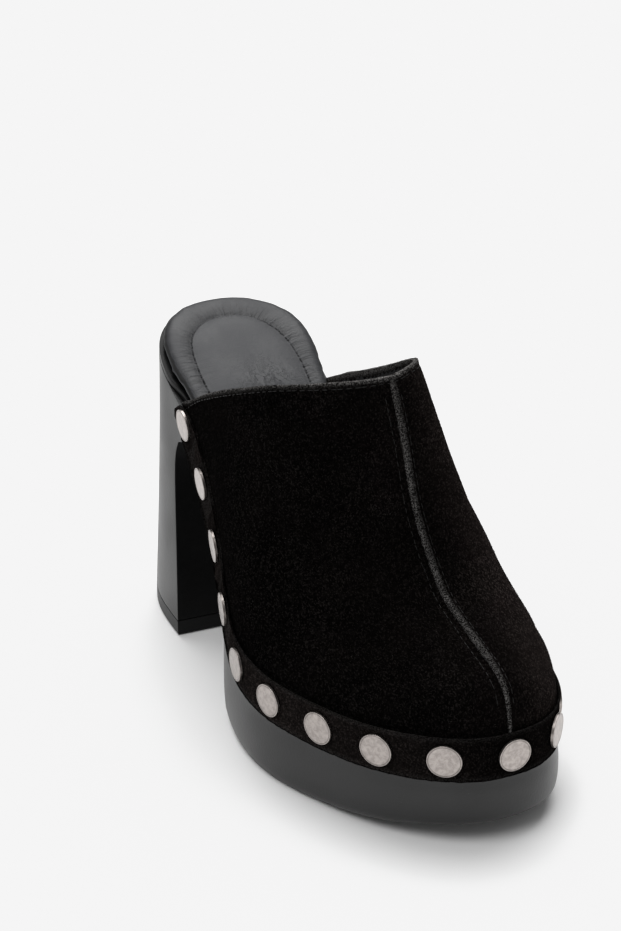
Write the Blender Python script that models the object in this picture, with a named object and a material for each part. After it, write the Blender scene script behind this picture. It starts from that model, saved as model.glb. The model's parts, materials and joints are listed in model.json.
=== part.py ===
"""A high-heeled platform clog: one right shoe, closed at the toe and open at the heel.

Stations run along the foot in millimetres, from 0 at the back of the last to TOE_TIP at the toe.
Across the foot, lateral (the wearer's right) is negative and medial is positive.
The finished shoe stands on z = 0 with its toe towards -Y and its footprint centred on the origin.
"""

import math

import bmesh
import bpy
import numpy as np
from mathutils import Matrix, Vector

MM = 0.001
GAP = 0.3
MERGE = 0.01
EDGE_SAMPLES = 2000

# Driving sizes of the last and the bottom, in millimetres
HEEL_BACK = 3.2
TOE_TIP = 218.5
TIP_SWING = 17.5
SWING_START = 120.0
SEAT_ROUND_END = 38.0
SEAT_ROUNDNESS = 2.36
TOE_ROUND_START = 150.0
TOE_ROUNDING = {"lateral": (2.12, 2.37), "medial": (2.60, 2.24)}
TOE_SPRING = 7.8
SPRING_START = 150.0

# Half widths of the sole's top edge, before the heel seat and the toe are rounded off
HALF_WIDTHS = (
    # station, lateral, medial
    (0.0, 29.6, 29.4),
    (40.0, 29.9, 29.2),
    (60.0, 29.9, 28.3),
    (90.0, 32.4, 28.6),
    (120.0, 38.4, 34.8),
    (150.0, 39.9, 46.7),
    (175.0, 36.3, 49.2),
    (195.0, 35.1, 47.2),
    (225.0, 31.0, 42.0),
)

# Deck: the top of sole and heel, on which the insole board and the upper stand
DECK = (
    # station, height
    (0.0, 109.9),
    (25.0, 103.6),
    (50.0, 94.6),
    (60.0, 90.4),
    (75.0, 78.6),
    (90.0, 65.2),
    (105.0, 51.6),
    (120.0, 40.3),
    (135.0, 34.4),
    (150.0, 32.4),
    (170.0, 31.6),
    (195.0, 32.2),
    (225.0, 34.4),
)

# Upper
UPPER_WALL = 2.0
FOOT_STRIP = 1.2
RIDGE_END = 216.0
UPPER_ROWS = 40
UPPER_ROW_SPACING = 1.15
UPPER_COLUMNS_PER_SIDE = 11
SECTION_POWERS = (
    # station, lateral across, lateral upward, medial across, medial upward
    (60.0, 1.9, 2.0, 1.9, 2.0),
    (100.0, 1.6, 1.9, 1.9, 1.9),
    (145.0, 1.46, 1.62, 1.9, 2.2),
    (170.0, 1.55, 1.7, 2.6, 2.6),
    (205.0, 1.8, 1.9, 2.3, 2.3),
)
# The cone of the last above the deck; behind the collar it only sets how the side walls lean
RIDGE = (
    # station, offset, height
    (49.0, 2.0, 232.0),
    (75.0, 5.0, 216.0),
    (100.0, 8.0, 196.0),
    (120.0, 10.0, 176.0),
    (132.0, 11.5, 155.0),
    (139.0, 12.5, 136.5),
    (145.0, 14.8, 115.2),
    (151.0, 16.2, 94.6),
    (156.0, 17.8, 82.2),
    (162.0, 19.0, 73.0),
    (170.0, 19.5, 66.6),
    (184.0, 20.1, 62.6),
    (198.0, 20.5, 59.5),
    (207.0, 20.6, 57.4),
    (212.0, 21.0, 53.6),
    (216.0, 20.6, 46.2),
)
COLLAR = (
    # station, lateral height, medial height
    (51.0, 95.4, 95.9),
    (60.0, 102.2, 101.3),
    (70.0, 108.0, 106.8),
    (88.0, 117.2, 115.6),
    (102.0, 123.8, 122.6),
    (113.0, 128.6, 128.7),
    (121.0, 131.7, 133.2),
    (128.0, 133.8, 136.5),
    (134.0, 135.2, 138.0),
    (137.0, 135.8, 138.0),
    (139.0, 136.4, 136.6),
)
COLLAR_FOOT = 49.5
COLLAR_SAMPLES = 400

# Rand: the studded strip around the joint of upper and sole
RAND_HEIGHT = 16.4
RAND_THICKNESS = 1.2
RAND_END = 44.0
RAND_STEPS = 84
RAND_SAMPLES = 400
RAND_ROWS = (
    # station, middle below the deck, share of the upper half, share of the lower half
    (43.0, 6.6, 0.02, 0.04),
    (44.0, 6.3, 0.07, 0.08),
    (47.0, 4.8, 0.32, 0.46),
    (50.0, 2.4, 0.56, 0.88),
    (56.0, 2.3, 0.92, 1.0),
    (62.0, 3.1, 1.0, 1.0),
    (90.0, 3.9, 1.0, 1.0),
    (120.0, 3.2, 1.0, 1.0),
    (145.0, 0.6, 1.0, 1.0),
    (170.0, 0.4, 1.0, 1.0),
    (225.0, 0.6, 1.0, 1.0),
)

# Studs
STUD_DIAMETER = 11.8
STUD_PROFILE = (
    # in from the rim, height
    (5.9, 0.0),
    (0.3, 0.0),
    (0.0, 0.3),
    (0.0, 0.7),
    (0.9, 1.2),
    (2.95, 1.42),
    (5.9, 1.5),
)
STUD_PAIRS = 9
LAST_STUD_FROM_END = 12.5
STUD_TOE_OFFSET = 4.0
STUD_SEGMENTS = 16

# Platform sole with its shank
SHANK_THICKNESS = 10.4
SHANK_STATIONS = (58.0, 64.0, 70.0, 76.0, 82.0, 87.0, 92.0)
PLATFORM_BREAST = 106.0
BREAST_TOP_DROP = 12.0
BREAST_TOP_SHARES = (0.3, 0.6, 0.85, 1.0)
BREAST_FOOT_RADIUS = 7.0
BREAST_FOOT_TURNS = (0, 30, 60, 90)
BREAST_FOOT_RISE = 5.0
SOLE_FRONT_COLUMNS = 26
FULL_WALL = 18.0
LEAST_WALL_SHARE = 0.5
FLARE_START = 102.0
FLARE_RUN = 11.0
WALL_ROWS = (
    # share of the wall below the rand, outward
    (0.0, -0.6),
    (0.08, 0.8),
    (0.3, 1.5),
    (0.75, 1.3),
    (0.96, -0.1),
)

# Heel block and its top lift
LIFT_HEIGHT = 6.2
LIFT_BEVEL = 0.8
LIFT_MIDDLE = 25.0
HEEL_BASE = {
    "back": -3.9,
    "breast": 49.6,
    "half_width": 30.5,
    "centre": -2.4,
    "depth": 45.0,
    "roundness": 2.3,
}
HEEL_ARC_STEPS = 24
HEEL_FLARE_POWER = 1.5
HEEL_SIDE_CLIMB = 0.94
SEAT_HALF_WIDTH = 29.6
HEEL_BREAST = (
    # share of the climb, station, height
    (0.0, 49.6, LIFT_HEIGHT + GAP),
    (0.3, 46.9, 30.0),
    (0.6, 44.3, 54.0),
    (0.78, 43.3, 68.0),
    (0.86, 44.4, 75.0),
    (0.92, 47.2, 79.6),
    (0.97, 52.0, 81.6),
    (1.0, 57.7, 80.4),
)

# Insole
BOARD_THICKNESS = 2.5
BOARD_INSET = 0.0
BOARD_LEVELS = (
    # share of the thickness, further inset
    (0.0, 0.0),
    (1.0, 0.0),
)
PAD_THICKNESS = 4.8
PAD_INSET = 1.2
PAD_LEVELS = (
    # share of the thickness, further inset
    (0.0, 1.0),
    (0.25, 0.1),
    (0.6, 0.1),
    (0.88, 1.4),
    (1.0, 4.0),
)
TUCK_START = 38.0
TUCK_END = 48.5
TUCK_DEPTH = UPPER_WALL + GAP + 0.3
INSOLE_COLUMNS = 44


def monotone(table, column):
    """Return a function that runs smoothly through one column of a table, without overshoot."""
    knots = np.array([row[0] for row in table])
    values = np.array([row[column] for row in table])
    steps = np.diff(knots)
    slopes = np.diff(values) / steps
    tangents = np.zeros(len(knots))
    tangents[0] = slopes[0]
    tangents[-1] = slopes[-1]
    for i in range(1, len(knots) - 1):
        if slopes[i - 1] * slopes[i] > 0:
            before = 2 * steps[i] + steps[i - 1]
            after = steps[i] + 2 * steps[i - 1]
            tangents[i] = (before + after) / (before / slopes[i - 1] + after / slopes[i])

    def read(at):
        at = np.clip(np.asarray(at, float), knots[0], knots[-1])
        i = np.clip(np.searchsorted(knots, at, side="right") - 1, 0, len(knots) - 2)
        t = (at - knots[i]) / steps[i]
        return (
            values[i] * (2 * t**3 - 3 * t**2 + 1)
            + tangents[i] * steps[i] * (t**3 - 2 * t**2 + t)
            + values[i + 1] * (3 * t**2 - 2 * t**3)
            + tangents[i + 1] * steps[i] * (t**3 - t**2)
        )

    return read


def flowing(table, column):
    """Return a natural cubic spline through one column of a table."""
    knots = np.array([row[0] for row in table])
    values = np.array([row[column] for row in table])
    steps = np.diff(knots)
    count = len(knots)
    system = np.eye(count)
    right = np.zeros(count)
    for i in range(1, count - 1):
        system[i, i - 1 : i + 2] = steps[i - 1], 2 * (steps[i - 1] + steps[i]), steps[i]
        right[i] = 6 * ((values[i + 1] - values[i]) / steps[i] - (values[i] - values[i - 1]) / steps[i - 1])
    bends = np.linalg.solve(system, right)

    def read(at):
        at = np.clip(np.asarray(at, float), knots[0], knots[-1])
        i = np.clip(np.searchsorted(knots, at, side="right") - 1, 0, count - 2)
        a = (knots[i + 1] - at) / steps[i]
        b = (at - knots[i]) / steps[i]
        bend = ((a**3 - a) * bends[i] + (b**3 - b) * bends[i + 1]) * steps[i] ** 2 / 6
        return a * values[i] + b * values[i + 1] + bend

    return read


lateral_width = flowing(HALF_WIDTHS, 1)
medial_width = flowing(HALF_WIDTHS, 2)
deck = flowing(DECK, 1)
ridge_offset = monotone(RIDGE, 1)
ridge_height = monotone(RIDGE, 2)
powers = {
    "lateral": (monotone(SECTION_POWERS, 1), monotone(SECTION_POWERS, 2)),
    "medial": (monotone(SECTION_POWERS, 3), monotone(SECTION_POWERS, 4)),
}
collar_height = {"lateral": monotone(COLLAR, 1), "medial": monotone(COLLAR, 2)}
rand_drop = monotone(RAND_ROWS, 1)
rand_above = monotone(RAND_ROWS, 2)
rand_below = monotone(RAND_ROWS, 3)


def rounding(station, side):
    """Share of the full half width that is left where the seat or the toe rounds in."""
    station = np.asarray(station, float)
    back = np.clip((SEAT_ROUND_END - station) / (SEAT_ROUND_END - HEEL_BACK), 0, 1)
    front = np.clip((station - TOE_ROUND_START) / (TOE_TIP - TOE_ROUND_START), 0, 1)
    power, root = TOE_ROUNDING[side]
    seat = (1 - back**SEAT_ROUNDNESS) ** (1 / SEAT_ROUNDNESS)
    return seat * (1 - front**power) ** (1 / root)


def swing(station):
    """Sideways swing of the forefoot towards the big toe."""
    run = (np.asarray(station, float) - SWING_START) / (TOE_TIP - SWING_START)
    return TIP_SWING * np.clip(run, 0, 1) ** 2


def edge_offset(station, side):
    """Sideways place of the sole's top edge at a station."""
    if side == "lateral":
        return swing(station) - lateral_width(station) * rounding(station, side)
    return swing(station) + medial_width(station) * rounding(station, side)


def edge_line(side, back, count):
    """Evenly spaced points (station, offset) of one side up to the toe tip, with outward normals."""
    angle = np.linspace(0, math.pi, EDGE_SAMPLES)
    station = back + (TOE_TIP - back) * (1 - np.cos(angle)) / 2
    points = np.stack([station, edge_offset(station, side)], axis=1)
    lengths = np.concatenate([[0], np.cumsum(np.linalg.norm(np.diff(points, axis=0), axis=1))])
    tangents = np.gradient(points, axis=0)
    wanted = np.linspace(0, lengths[-1], count)
    even = np.stack([np.interp(wanted, lengths, points[:, k]) for k in (0, 1)], axis=1)
    tangent = np.stack([np.interp(wanted, lengths, tangents[:, k]) for k in (0, 1)], axis=1)
    tangent /= np.linalg.norm(tangent, axis=1)[:, None]
    sign = -1.0 if side == "lateral" else 1.0
    normal = np.stack([-tangent[:, 1] * sign, tangent[:, 0] * sign], axis=1)
    normal[-1] = (1.0, 0.0)
    if back == HEEL_BACK:
        normal[0] = (-1.0, 0.0)
    return even, normal


def world(station, offset, height):
    """Millimetres of the last to metres of the shoe."""
    return (offset * MM, -station * MM, height * MM)


def material(name, colour, roughness, metallic=0.0):
    """A plain surface for one kind of material."""
    surface = bpy.data.materials.new(name)
    surface.use_nodes = True
    shader = surface.node_tree.nodes["Principled BSDF"]
    shader.inputs["Base Color"].default_value = (*colour, 1.0)
    shader.inputs["Roughness"].default_value = roughness
    shader.inputs["Metallic"].default_value = metallic
    surface.diffuse_color = (*colour, 1.0)
    return surface


def finish(name, bm, surface, smooth_angle=40.0):
    """Turn a bmesh into a named object of the scene."""
    bmesh.ops.remove_doubles(bm, verts=bm.verts, dist=MERGE * MM)
    bmesh.ops.recalc_face_normals(bm, faces=bm.faces)
    mesh = bpy.data.meshes.new(name)
    bm.to_mesh(mesh)
    bm.free()
    mesh.materials.append(surface)
    mesh.shade_smooth()
    mesh.set_sharp_from_angle(angle=math.radians(smooth_angle))
    piece = bpy.data.objects.new(name, mesh)
    bpy.context.collection.objects.link(piece)
    return piece


def loft(bm, rings, closed_rings=True):
    """Skin a list of rings of points; equal neighbours shrink to a pole."""
    rows = [[bm.verts.new(point) for point in ring] for ring in rings]
    for row, after in zip(rows, rows[1:]):
        count = len(row)
        for i in range(count if closed_rings else count - 1):
            j = (i + 1) % count
            bm.faces.new((row[i], row[j], after[j], after[i]))
    return rows


def weld(bm):
    """Merge the points of a pole and drop the faces that it flattens."""
    bmesh.ops.remove_doubles(bm, verts=bm.verts, dist=MERGE * MM)
    bmesh.ops.dissolve_degenerate(bm, edges=bm.edges, dist=MERGE / 2 * MM)


def section_point(station, side, angle):
    """A point of the upper's outer face: angle 0 on the deck, a right angle on the ridge."""
    foot = deck(station) + GAP + FOOT_STRIP
    tail = np.clip((TOE_TIP - station) / (TOE_TIP - RIDGE_END), 0, 1)
    crest = foot + (ridge_height(station) - foot) * np.sqrt(tail)
    middle = ridge_offset(station)
    edge = edge_offset(station, side)
    across_power, upward_power = powers[side]
    across = np.cos(angle) ** (2 / across_power(station))
    upward = np.sin(angle) ** (2 / upward_power(station))
    return middle + (edge - middle) * across, foot + (crest - foot) * upward


def collar_stations(side, angles):
    """Station at which the collar crosses each section angle of one side."""
    station = np.linspace(COLLAR[0][0], COLLAR[-1][0], COLLAR_SAMPLES)
    foot = deck(station) + GAP + FOOT_STRIP
    share = np.clip((collar_height[side](station) - foot) / (ridge_height(station) - foot), 0, 1)
    at = np.arcsin(share ** (powers[side][1](station) / 2))
    station = np.concatenate([[COLLAR_FOOT], station])
    at = np.concatenate([[0.0], at])
    at[-1] = math.pi / 2
    return np.interp(angles, at, station)


def make_upper(surface):
    """Vamp: one wall from the collar to the toe, standing on the edge of the deck."""
    angles = np.linspace(0, math.pi / 2, UPPER_COLUMNS_PER_SIDE + 1)
    collar = {side: collar_stations(side, angles) for side in powers}
    bm = bmesh.new()
    rings = []
    for share in np.linspace(0, 1, UPPER_ROWS + 1):
        forward = math.sin(share * math.pi / 2) ** UPPER_ROW_SPACING
        halves = []
        for side, back in collar.items():
            station = back + (TOE_TIP - back) * forward
            offset, height = section_point(station, side, angles)
            foot = world(station[0], offset[0], height[0] - FOOT_STRIP)
            halves.append([foot] + [world(*p) for p in zip(station, offset, height)])
        rings.append(halves[0] + halves[1][-2::-1])
    tip = world(TOE_TIP, float(swing(TOE_TIP)), float(deck(TOE_TIP)) + GAP)
    rings[-1] = [tip] * len(rings[0])
    loft(bm, rings, closed_rings=False)
    weld(bm)
    piece = finish("upper", bm, surface, smooth_angle=60.0)
    wall = piece.modifiers.new("wall", "SOLIDIFY")
    wall.thickness = UPPER_WALL * MM
    wall.offset = -1.0
    return piece


def rand_path():
    """Middle of the rand's outer face from the lateral end round the toe to the medial end."""
    lateral, lateral_normal = edge_line("lateral", RAND_END, RAND_SAMPLES)
    medial, medial_normal = edge_line("medial", RAND_END, RAND_SAMPLES)
    points = np.concatenate([lateral, medial[::-1][1:]])
    normals = np.concatenate([lateral_normal, medial_normal[::-1][1:]])
    height = deck(points[:, 0]) - rand_drop(points[:, 0])
    path = np.column_stack([points, height])
    path[:, :2] += normals * (GAP + RAND_THICKNESS)
    lengths = np.concatenate([[0], np.cumsum(np.linalg.norm(np.diff(path, axis=0), axis=1))])
    return path, normals, lengths


def rand_frame(path, normals, lengths, at):
    """Point, outward direction and upward direction of the rand at a length along it."""
    point = np.array([np.interp(at, lengths, path[:, k]) for k in range(3)])
    ahead = np.array([np.interp(at + 1.0, lengths, path[:, k]) for k in range(3)])
    behind = np.array([np.interp(at - 1.0, lengths, path[:, k]) for k in range(3)])
    forward, sideways = (float(np.interp(at, lengths, normals[:, k])) for k in (0, 1))
    out = Vector((sideways, -forward, 0.0)).normalized()
    along = Vector(world(*(ahead - behind))).normalized()
    up = along.cross(out).normalized()
    if up.z < 0:
        up.negate()
    return Vector(world(*point)), out, up


def make_rand(surface):
    """Strip of one thickness that follows the joint of upper and sole."""
    path, normals, lengths = rand_path()
    bm = bmesh.new()
    rings = []
    for at in np.linspace(0, lengths[-1], RAND_STEPS + 1):
        point, out, up = rand_frame(path, normals, lengths, at)
        station = np.interp(at, lengths, path[:, 0])
        above = up * RAND_HEIGHT / 2 * float(rand_above(station)) * MM
        below = up * RAND_HEIGHT / 2 * float(rand_below(station)) * MM
        inner = point - out * RAND_THICKNESS * MM
        rings.append([point + above, inner + above, inner - below, point - below])
    rows = loft(bm, rings)
    bm.faces.new(rows[0])
    bm.faces.new(rows[-1])
    return finish("rand", bm, surface)


def make_studs(surface):
    """Flat domed discs at one pitch along the rand, one near the toe's middle."""
    path, normals, lengths = rand_path()
    toe = slice(len(path) // 4, -(len(path) // 4))
    tip = float(np.interp(TIP_SWING, path[toe, 1], lengths[toe]))
    for number in range(-STUD_PAIRS, STUD_PAIRS + 1):
        toe_stud = tip + STUD_TOE_OFFSET
        room = toe_stud if number < 0 else lengths[-1] - toe_stud
        at = toe_stud + number * (room - LAST_STUD_FROM_END) / STUD_PAIRS
        point, out, up = rand_frame(path, normals, lengths, at)
        across = up.cross(out)
        base = point + out * GAP * MM
        bm = bmesh.new()
        points = [bm.verts.new(((STUD_DIAMETER / 2 - inward) * MM, 0.0, rise * MM))
                  for inward, rise in STUD_PROFILE]
        edges = [bm.edges.new(pair) for pair in zip(points, points[1:])]
        bmesh.ops.spin(bm, geom=points + edges, axis=(0, 0, 1), cent=(0, 0, 0),
                       steps=STUD_SEGMENTS, angle=math.tau, use_duplicate=False)
        weld(bm)
        turn = Matrix((across, up, out)).transposed().to_4x4()
        bmesh.ops.transform(bm, matrix=Matrix.Translation(base) @ turn, verts=bm.verts)
        name = "stud_toe" if number == 0 else f"stud_{'lateral' if number < 0 else 'medial'}_{abs(number)}"
        finish(name, bm, surface, smooth_angle=30.0)


def underside_profile():
    """Stations and heights of the sole's underside from the heel block to the forefoot's flat."""
    points = [(station, float(deck(station)) - SHANK_THICKNESS) for station in SHANK_STATIONS]
    shank_station, shank_height = points[-1]
    top = shank_height - BREAST_TOP_DROP
    for share in BREAST_TOP_SHARES:
        points.append((shank_station + (PLATFORM_BREAST - shank_station) * (1 - (1 - share) ** 2),
                       shank_height + (top - shank_height) * (share + share**2) / 2))
    points.append((PLATFORM_BREAST, BREAST_FOOT_RADIUS + BREAST_FOOT_RISE))
    for degrees in BREAST_FOOT_TURNS:
        turn = math.radians(degrees)
        points.append((PLATFORM_BREAST + BREAST_FOOT_RADIUS * (1 - math.cos(turn)),
                       BREAST_FOOT_RADIUS * (1 - math.sin(turn))))
    return points


def spring(station):
    """Height of the forefoot's underside above the floor."""
    return TOE_SPRING * max(0.0, (station - SPRING_START) / (TOE_TIP - SPRING_START)) ** 2


def wall_column(side, low, high_station, place=None, normal=None):
    """Points of the sole's side from its underside up to the deck, flared below the rand."""
    top = float(deck(high_station))
    slope = (float(deck(high_station + 1)) - float(deck(high_station - 1))) / 2
    hidden = float(rand_drop(high_station)) + RAND_HEIGHT / 2 * math.hypot(1, slope)
    wall = top - hidden - low[1]
    flare = min(1.0, max(0.0, wall) / FULL_WALL, max(0.0, high_station - FLARE_START) / FLARE_RUN)
    wall = max(wall, (top - low[1]) * LEAST_WALL_SHARE)
    sign = -1 if side == "lateral" else 1
    column = []
    for share, outward in WALL_ROWS + ((None, 0.0),):
        height = top if share is None else low[1] + wall * share
        climb = (height - low[1]) / (top - low[1])
        station = low[0] + (high_station - low[0]) * climb
        if place is None:
            offset = float(edge_offset(station, side)) + sign * outward * flare
            column.append(world(station, offset, height))
        else:
            column.append(world(*(place + normal * outward * flare), height))
    return column


def make_sole(surface):
    """Platform, breast and shank in one solid, up to the deck."""
    profile = underside_profile()
    flat_start = profile[-1][0]
    shank_end = SHANK_STATIONS[-1]
    breast_tops = np.linspace(shank_end, flat_start, len(profile) - len(SHANK_STATIONS) + 1)
    top_stations = list(SHANK_STATIONS) + list(breast_tops[1:])
    columns = {}
    for side in ("lateral", "medial"):
        columns[side] = [wall_column(side, low, high) for low, high in zip(profile[:-1], top_stations[:-1])]
        for place, normal in zip(*edge_line(side, flat_start, SOLE_FRONT_COLUMNS + 1)):
            columns[side].append(wall_column(side, (place[0], spring(place[0])), place[0], place, normal))
    bm = bmesh.new()
    pairs = zip(columns["lateral"], columns["medial"])
    rows = loft(bm, [lateral + medial[::-1] for lateral, medial in pairs])
    bm.faces.new(rows[0])
    weld(bm)
    return finish("platform_sole", bm, surface, smooth_angle=50.0)


def heel_arc(back, depth, half_width, centre, roundness):
    """Half ring from the lateral side round the back to the medial side."""
    angle = np.linspace(-math.pi / 2, math.pi / 2, HEEL_ARC_STEPS + 1)
    inward = 1 - np.abs(np.cos(angle)) ** (2 / roundness)
    across = np.sign(np.sin(angle)) * np.abs(np.sin(angle)) ** (2 / roundness)
    return back + depth * inward, centre + half_width * across


def make_heel(surface):
    """Block from the lift up to the deck, with an arched breast that runs into the shank."""
    base = HEEL_BASE
    low_s, low_x = heel_arc(base["back"], base["depth"], base["half_width"], base["centre"], base["roundness"])
    top_depth = SEAT_ROUND_END - HEEL_BACK
    top_s, top_x = heel_arc(HEEL_BACK, top_depth, SEAT_HALF_WIDTH, 0.0, SEAT_ROUNDNESS)
    top_x = np.array([edge_offset(s, "lateral") if x < 0 else edge_offset(s, "medial")
                      for s, x in zip(top_s, top_x)])
    bottom = LIFT_HEIGHT + GAP
    bm = bmesh.new()
    rings = []
    crest = HEEL_BREAST[-1][1]
    for share, station, height in HEEL_BREAST + ((1 / HEEL_SIDE_CLIMB, crest, float(deck(crest))),):
        side_share = share * HEEL_SIDE_CLIMB
        ease = (1 - side_share) ** HEEL_FLARE_POWER
        s = top_s + (low_s - top_s) * ease
        x = top_x + (low_x - top_x) * ease
        z = bottom + (deck(top_s) - bottom) * side_share
        lateral = float(edge_offset(station, "lateral")) * (1 - ease) + low_x[0] * ease
        medial = float(edge_offset(station, "medial")) * (1 - ease) + low_x[-1] * ease
        ring = [world(station, lateral, height)]
        ring += [world(*p) for p in zip(s, x, z)]
        ring.append(world(station, medial, height))
        rings.append(ring)
    rows = loft(bm, rings)
    bm.faces.new(rows[0])
    bm.faces.new(rows[-1])
    return finish("heel_block", bm, surface, smooth_angle=35.0)


def make_lift(surface):
    """Top lift under the heel block."""
    base = HEEL_BASE
    s, x = heel_arc(base["back"], base["depth"], base["half_width"], base["centre"], base["roundness"])
    centre = base["centre"]
    bm = bmesh.new()
    rings = []
    for height, inset in ((0.0, LIFT_BEVEL), (LIFT_BEVEL, 0.0), (LIFT_HEIGHT, 0.0)):
        shrink = 1 - inset / base["half_width"]
        ring = [world(base["breast"] - inset, centre - base["half_width"] + inset, height)]
        ring += [world(LIFT_MIDDLE + (a - LIFT_MIDDLE) * shrink, centre + (b - centre) * shrink, height)
                 for a, b in zip(s, x)]
        ring.append(world(base["breast"] - inset, centre + base["half_width"] - inset, height))
        rings.append(ring)
    rows = loft(bm, rings)
    bm.faces.new(rows[0])
    bm.faces.new(rows[-1])
    return finish("heel_lift", bm, surface, smooth_angle=35.0)


def tuck(station):
    """How far the insole draws in to pass inside the upper's wall."""
    t = np.clip((station - TUCK_START) / (TUCK_END - TUCK_START), 0, 1)
    return TUCK_DEPTH * t * t * (3 - 2 * t)


def insole_layer(name, surface, foot, thickness, inset, levels):
    """A layer of the footbed, from its foot's height above the deck up."""
    columns = {}
    for side in ("lateral", "medial"):
        points, normals = edge_line(side, HEEL_BACK, INSOLE_COLUMNS + 1)
        columns[side] = []
        for point, normal in zip(points, normals):
            places = [(point - normal * (inset + more + float(tuck(point[0]))), foot + thickness * share)
                      for share, more in levels]
            columns[side].append([world(at[0], at[1], float(deck(at[0])) + height) for at, height in places])
    bm = bmesh.new()
    loft(bm, [lateral + medial[::-1] for lateral, medial in zip(columns["lateral"], columns["medial"])])
    weld(bm)
    return finish(name, bm, surface, smooth_angle=50.0)


def make_insole(board_surface, pad_surface):
    """Insole board and the padded footbed on it."""
    insole_layer("insole_board", board_surface, GAP, BOARD_THICKNESS, BOARD_INSET, BOARD_LEVELS)
    insole_layer("insole_pad", pad_surface, 2 * GAP + BOARD_THICKNESS, PAD_THICKNESS, PAD_INSET, PAD_LEVELS)


def stand_on_origin():
    """Centre the footprint on the origin and set the lowest point on the floor."""
    pieces = [item for item in bpy.context.scene.objects if item.type == "MESH"]
    corners = np.array([vertex.co for piece in pieces for vertex in piece.data.vertices])
    low = corners.min(axis=0)
    high = corners.max(axis=0)
    shift = Matrix.Translation((-(low[0] + high[0]) / 2, -(low[1] + high[1]) / 2, -low[2]))
    for piece in pieces:
        piece.data.transform(shift)


def main():
    for item in list(bpy.data.objects):
        bpy.data.objects.remove(item, do_unlink=True)
    suede = material("suede", (0.012, 0.011, 0.010), 0.95)
    leather = material("leather_wrap", (0.035, 0.036, 0.038), 0.5)
    lining = material("leather_lining", (0.06, 0.062, 0.066), 0.55)
    nickel = material("nickel", (0.62, 0.59, 0.56), 0.3, 1.0)
    rubber = material("rubber", (0.03, 0.03, 0.031), 0.6)
    make_upper(suede)
    make_rand(suede)
    make_studs(nickel)
    make_sole(leather)
    make_heel(leather)
    make_lift(rubber)
    make_insole(leather, lining)
    stand_on_origin()


main()
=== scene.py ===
"""Platform clog: the looks of a high-heeled right shoe.

A suede vamp with a raised middle seam, a studded suede rand, a padded leather footbed, and a
leather-wrapped platform and block heel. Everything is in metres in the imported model's frame:
the toe points to -Y, the inner side of the foot to +X, and the shoe stands on z = 0.
"""

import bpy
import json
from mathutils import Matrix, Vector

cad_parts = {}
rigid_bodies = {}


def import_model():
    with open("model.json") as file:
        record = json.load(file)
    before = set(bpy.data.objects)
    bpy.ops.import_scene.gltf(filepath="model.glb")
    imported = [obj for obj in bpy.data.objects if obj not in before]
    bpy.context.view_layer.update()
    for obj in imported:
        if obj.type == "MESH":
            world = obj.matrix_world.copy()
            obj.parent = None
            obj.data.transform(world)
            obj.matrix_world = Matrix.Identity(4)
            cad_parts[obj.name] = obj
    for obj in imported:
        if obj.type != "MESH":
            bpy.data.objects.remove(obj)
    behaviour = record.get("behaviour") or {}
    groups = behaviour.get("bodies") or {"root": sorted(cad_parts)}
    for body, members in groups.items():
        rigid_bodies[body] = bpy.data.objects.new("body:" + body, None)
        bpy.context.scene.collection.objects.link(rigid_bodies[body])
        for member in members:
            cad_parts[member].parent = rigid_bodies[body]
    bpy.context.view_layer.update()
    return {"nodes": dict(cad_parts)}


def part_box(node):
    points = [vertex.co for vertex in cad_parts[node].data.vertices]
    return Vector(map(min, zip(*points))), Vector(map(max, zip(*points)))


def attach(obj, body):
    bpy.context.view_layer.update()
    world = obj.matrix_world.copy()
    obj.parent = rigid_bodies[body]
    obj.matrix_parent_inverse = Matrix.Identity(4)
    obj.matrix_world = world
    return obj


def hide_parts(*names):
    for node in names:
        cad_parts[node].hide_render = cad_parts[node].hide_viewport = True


bl_info = {
    "name": "Platform Clog",
    "version": (1, 0, 0),
    "blender": (4, 5, 0),
    "location": "3D View > Sidebar > Clog",
    "description": "Models the finish of a studded suede platform clog",
    "category": "Object",
}

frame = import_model()

import json
import math

import bmesh
import bpy
import numpy as np
from bpy.props import FloatProperty, FloatVectorProperty, IntProperty, PointerProperty
from mathutils import Matrix, Vector, noise
from mathutils.bvhtree import BVHTree
from mathutils.kdtree import KDTree

MM = 0.001
NODES = frame["nodes"]
STUD_NODES = sorted(name for name in NODES if name.startswith("stud_"))

# The last's own stations run from its back, 3.9 mm in front of the lift's back edge;
# offsets run from the middle of the heel seat, 2.4 mm inside the lift's middle.
LIFT_LOW, LIFT_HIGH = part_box("heel_lift")
STATION_ZERO = LIFT_HIGH.y - 3.9 * MM
OFFSET_ZERO = (LIFT_LOW.x + LIFT_HIGH.x) / 2 + 2.4 * MM

# Line of the middle seam, from the collar down the instep to the rand at the toe
SEAM_LINE = (
    # station, offset, height
    (139.0, 12.5, 136.5),
    (145.0, 14.8, 115.2),
    (151.0, 16.2, 94.6),
    (156.0, 17.8, 82.2),
    (162.0, 19.0, 73.0),
    (170.0, 19.5, 66.6),
    (184.0, 20.1, 62.6),
    (198.0, 20.5, 59.5),
    (207.0, 20.6, 57.4),
    (212.0, 21.0, 53.6),
    (216.0, 20.6, 46.2),
    (217.2, 20.2, 41.0),
)

# Sewn channel of the footbed, round the heel seat and forward under the vamp
CHANNEL = (
    # station, lateral offset, medial offset
    (17.4, 0.4, 0.4),
    (17.8, -4.2, 3.8),
    (19.0, -8.0, 7.4),
    (21.2, -11.4, 10.8),
    (24.6, -14.9, 13.6),
    (29.0, -17.4, 16.0),
    (34.0, -18.8, 17.6),
    (39.0, -19.4, 18.3),
    (46.0, -19.5, 18.4),
    (54.0, -19.3, 17.9),
    (66.0, -19.2, 17.3),
    (84.0, -20.4, 17.2),
    (104.0, -23.4, 19.2),
    (122.0, -26.0, 21.5),
)

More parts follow.
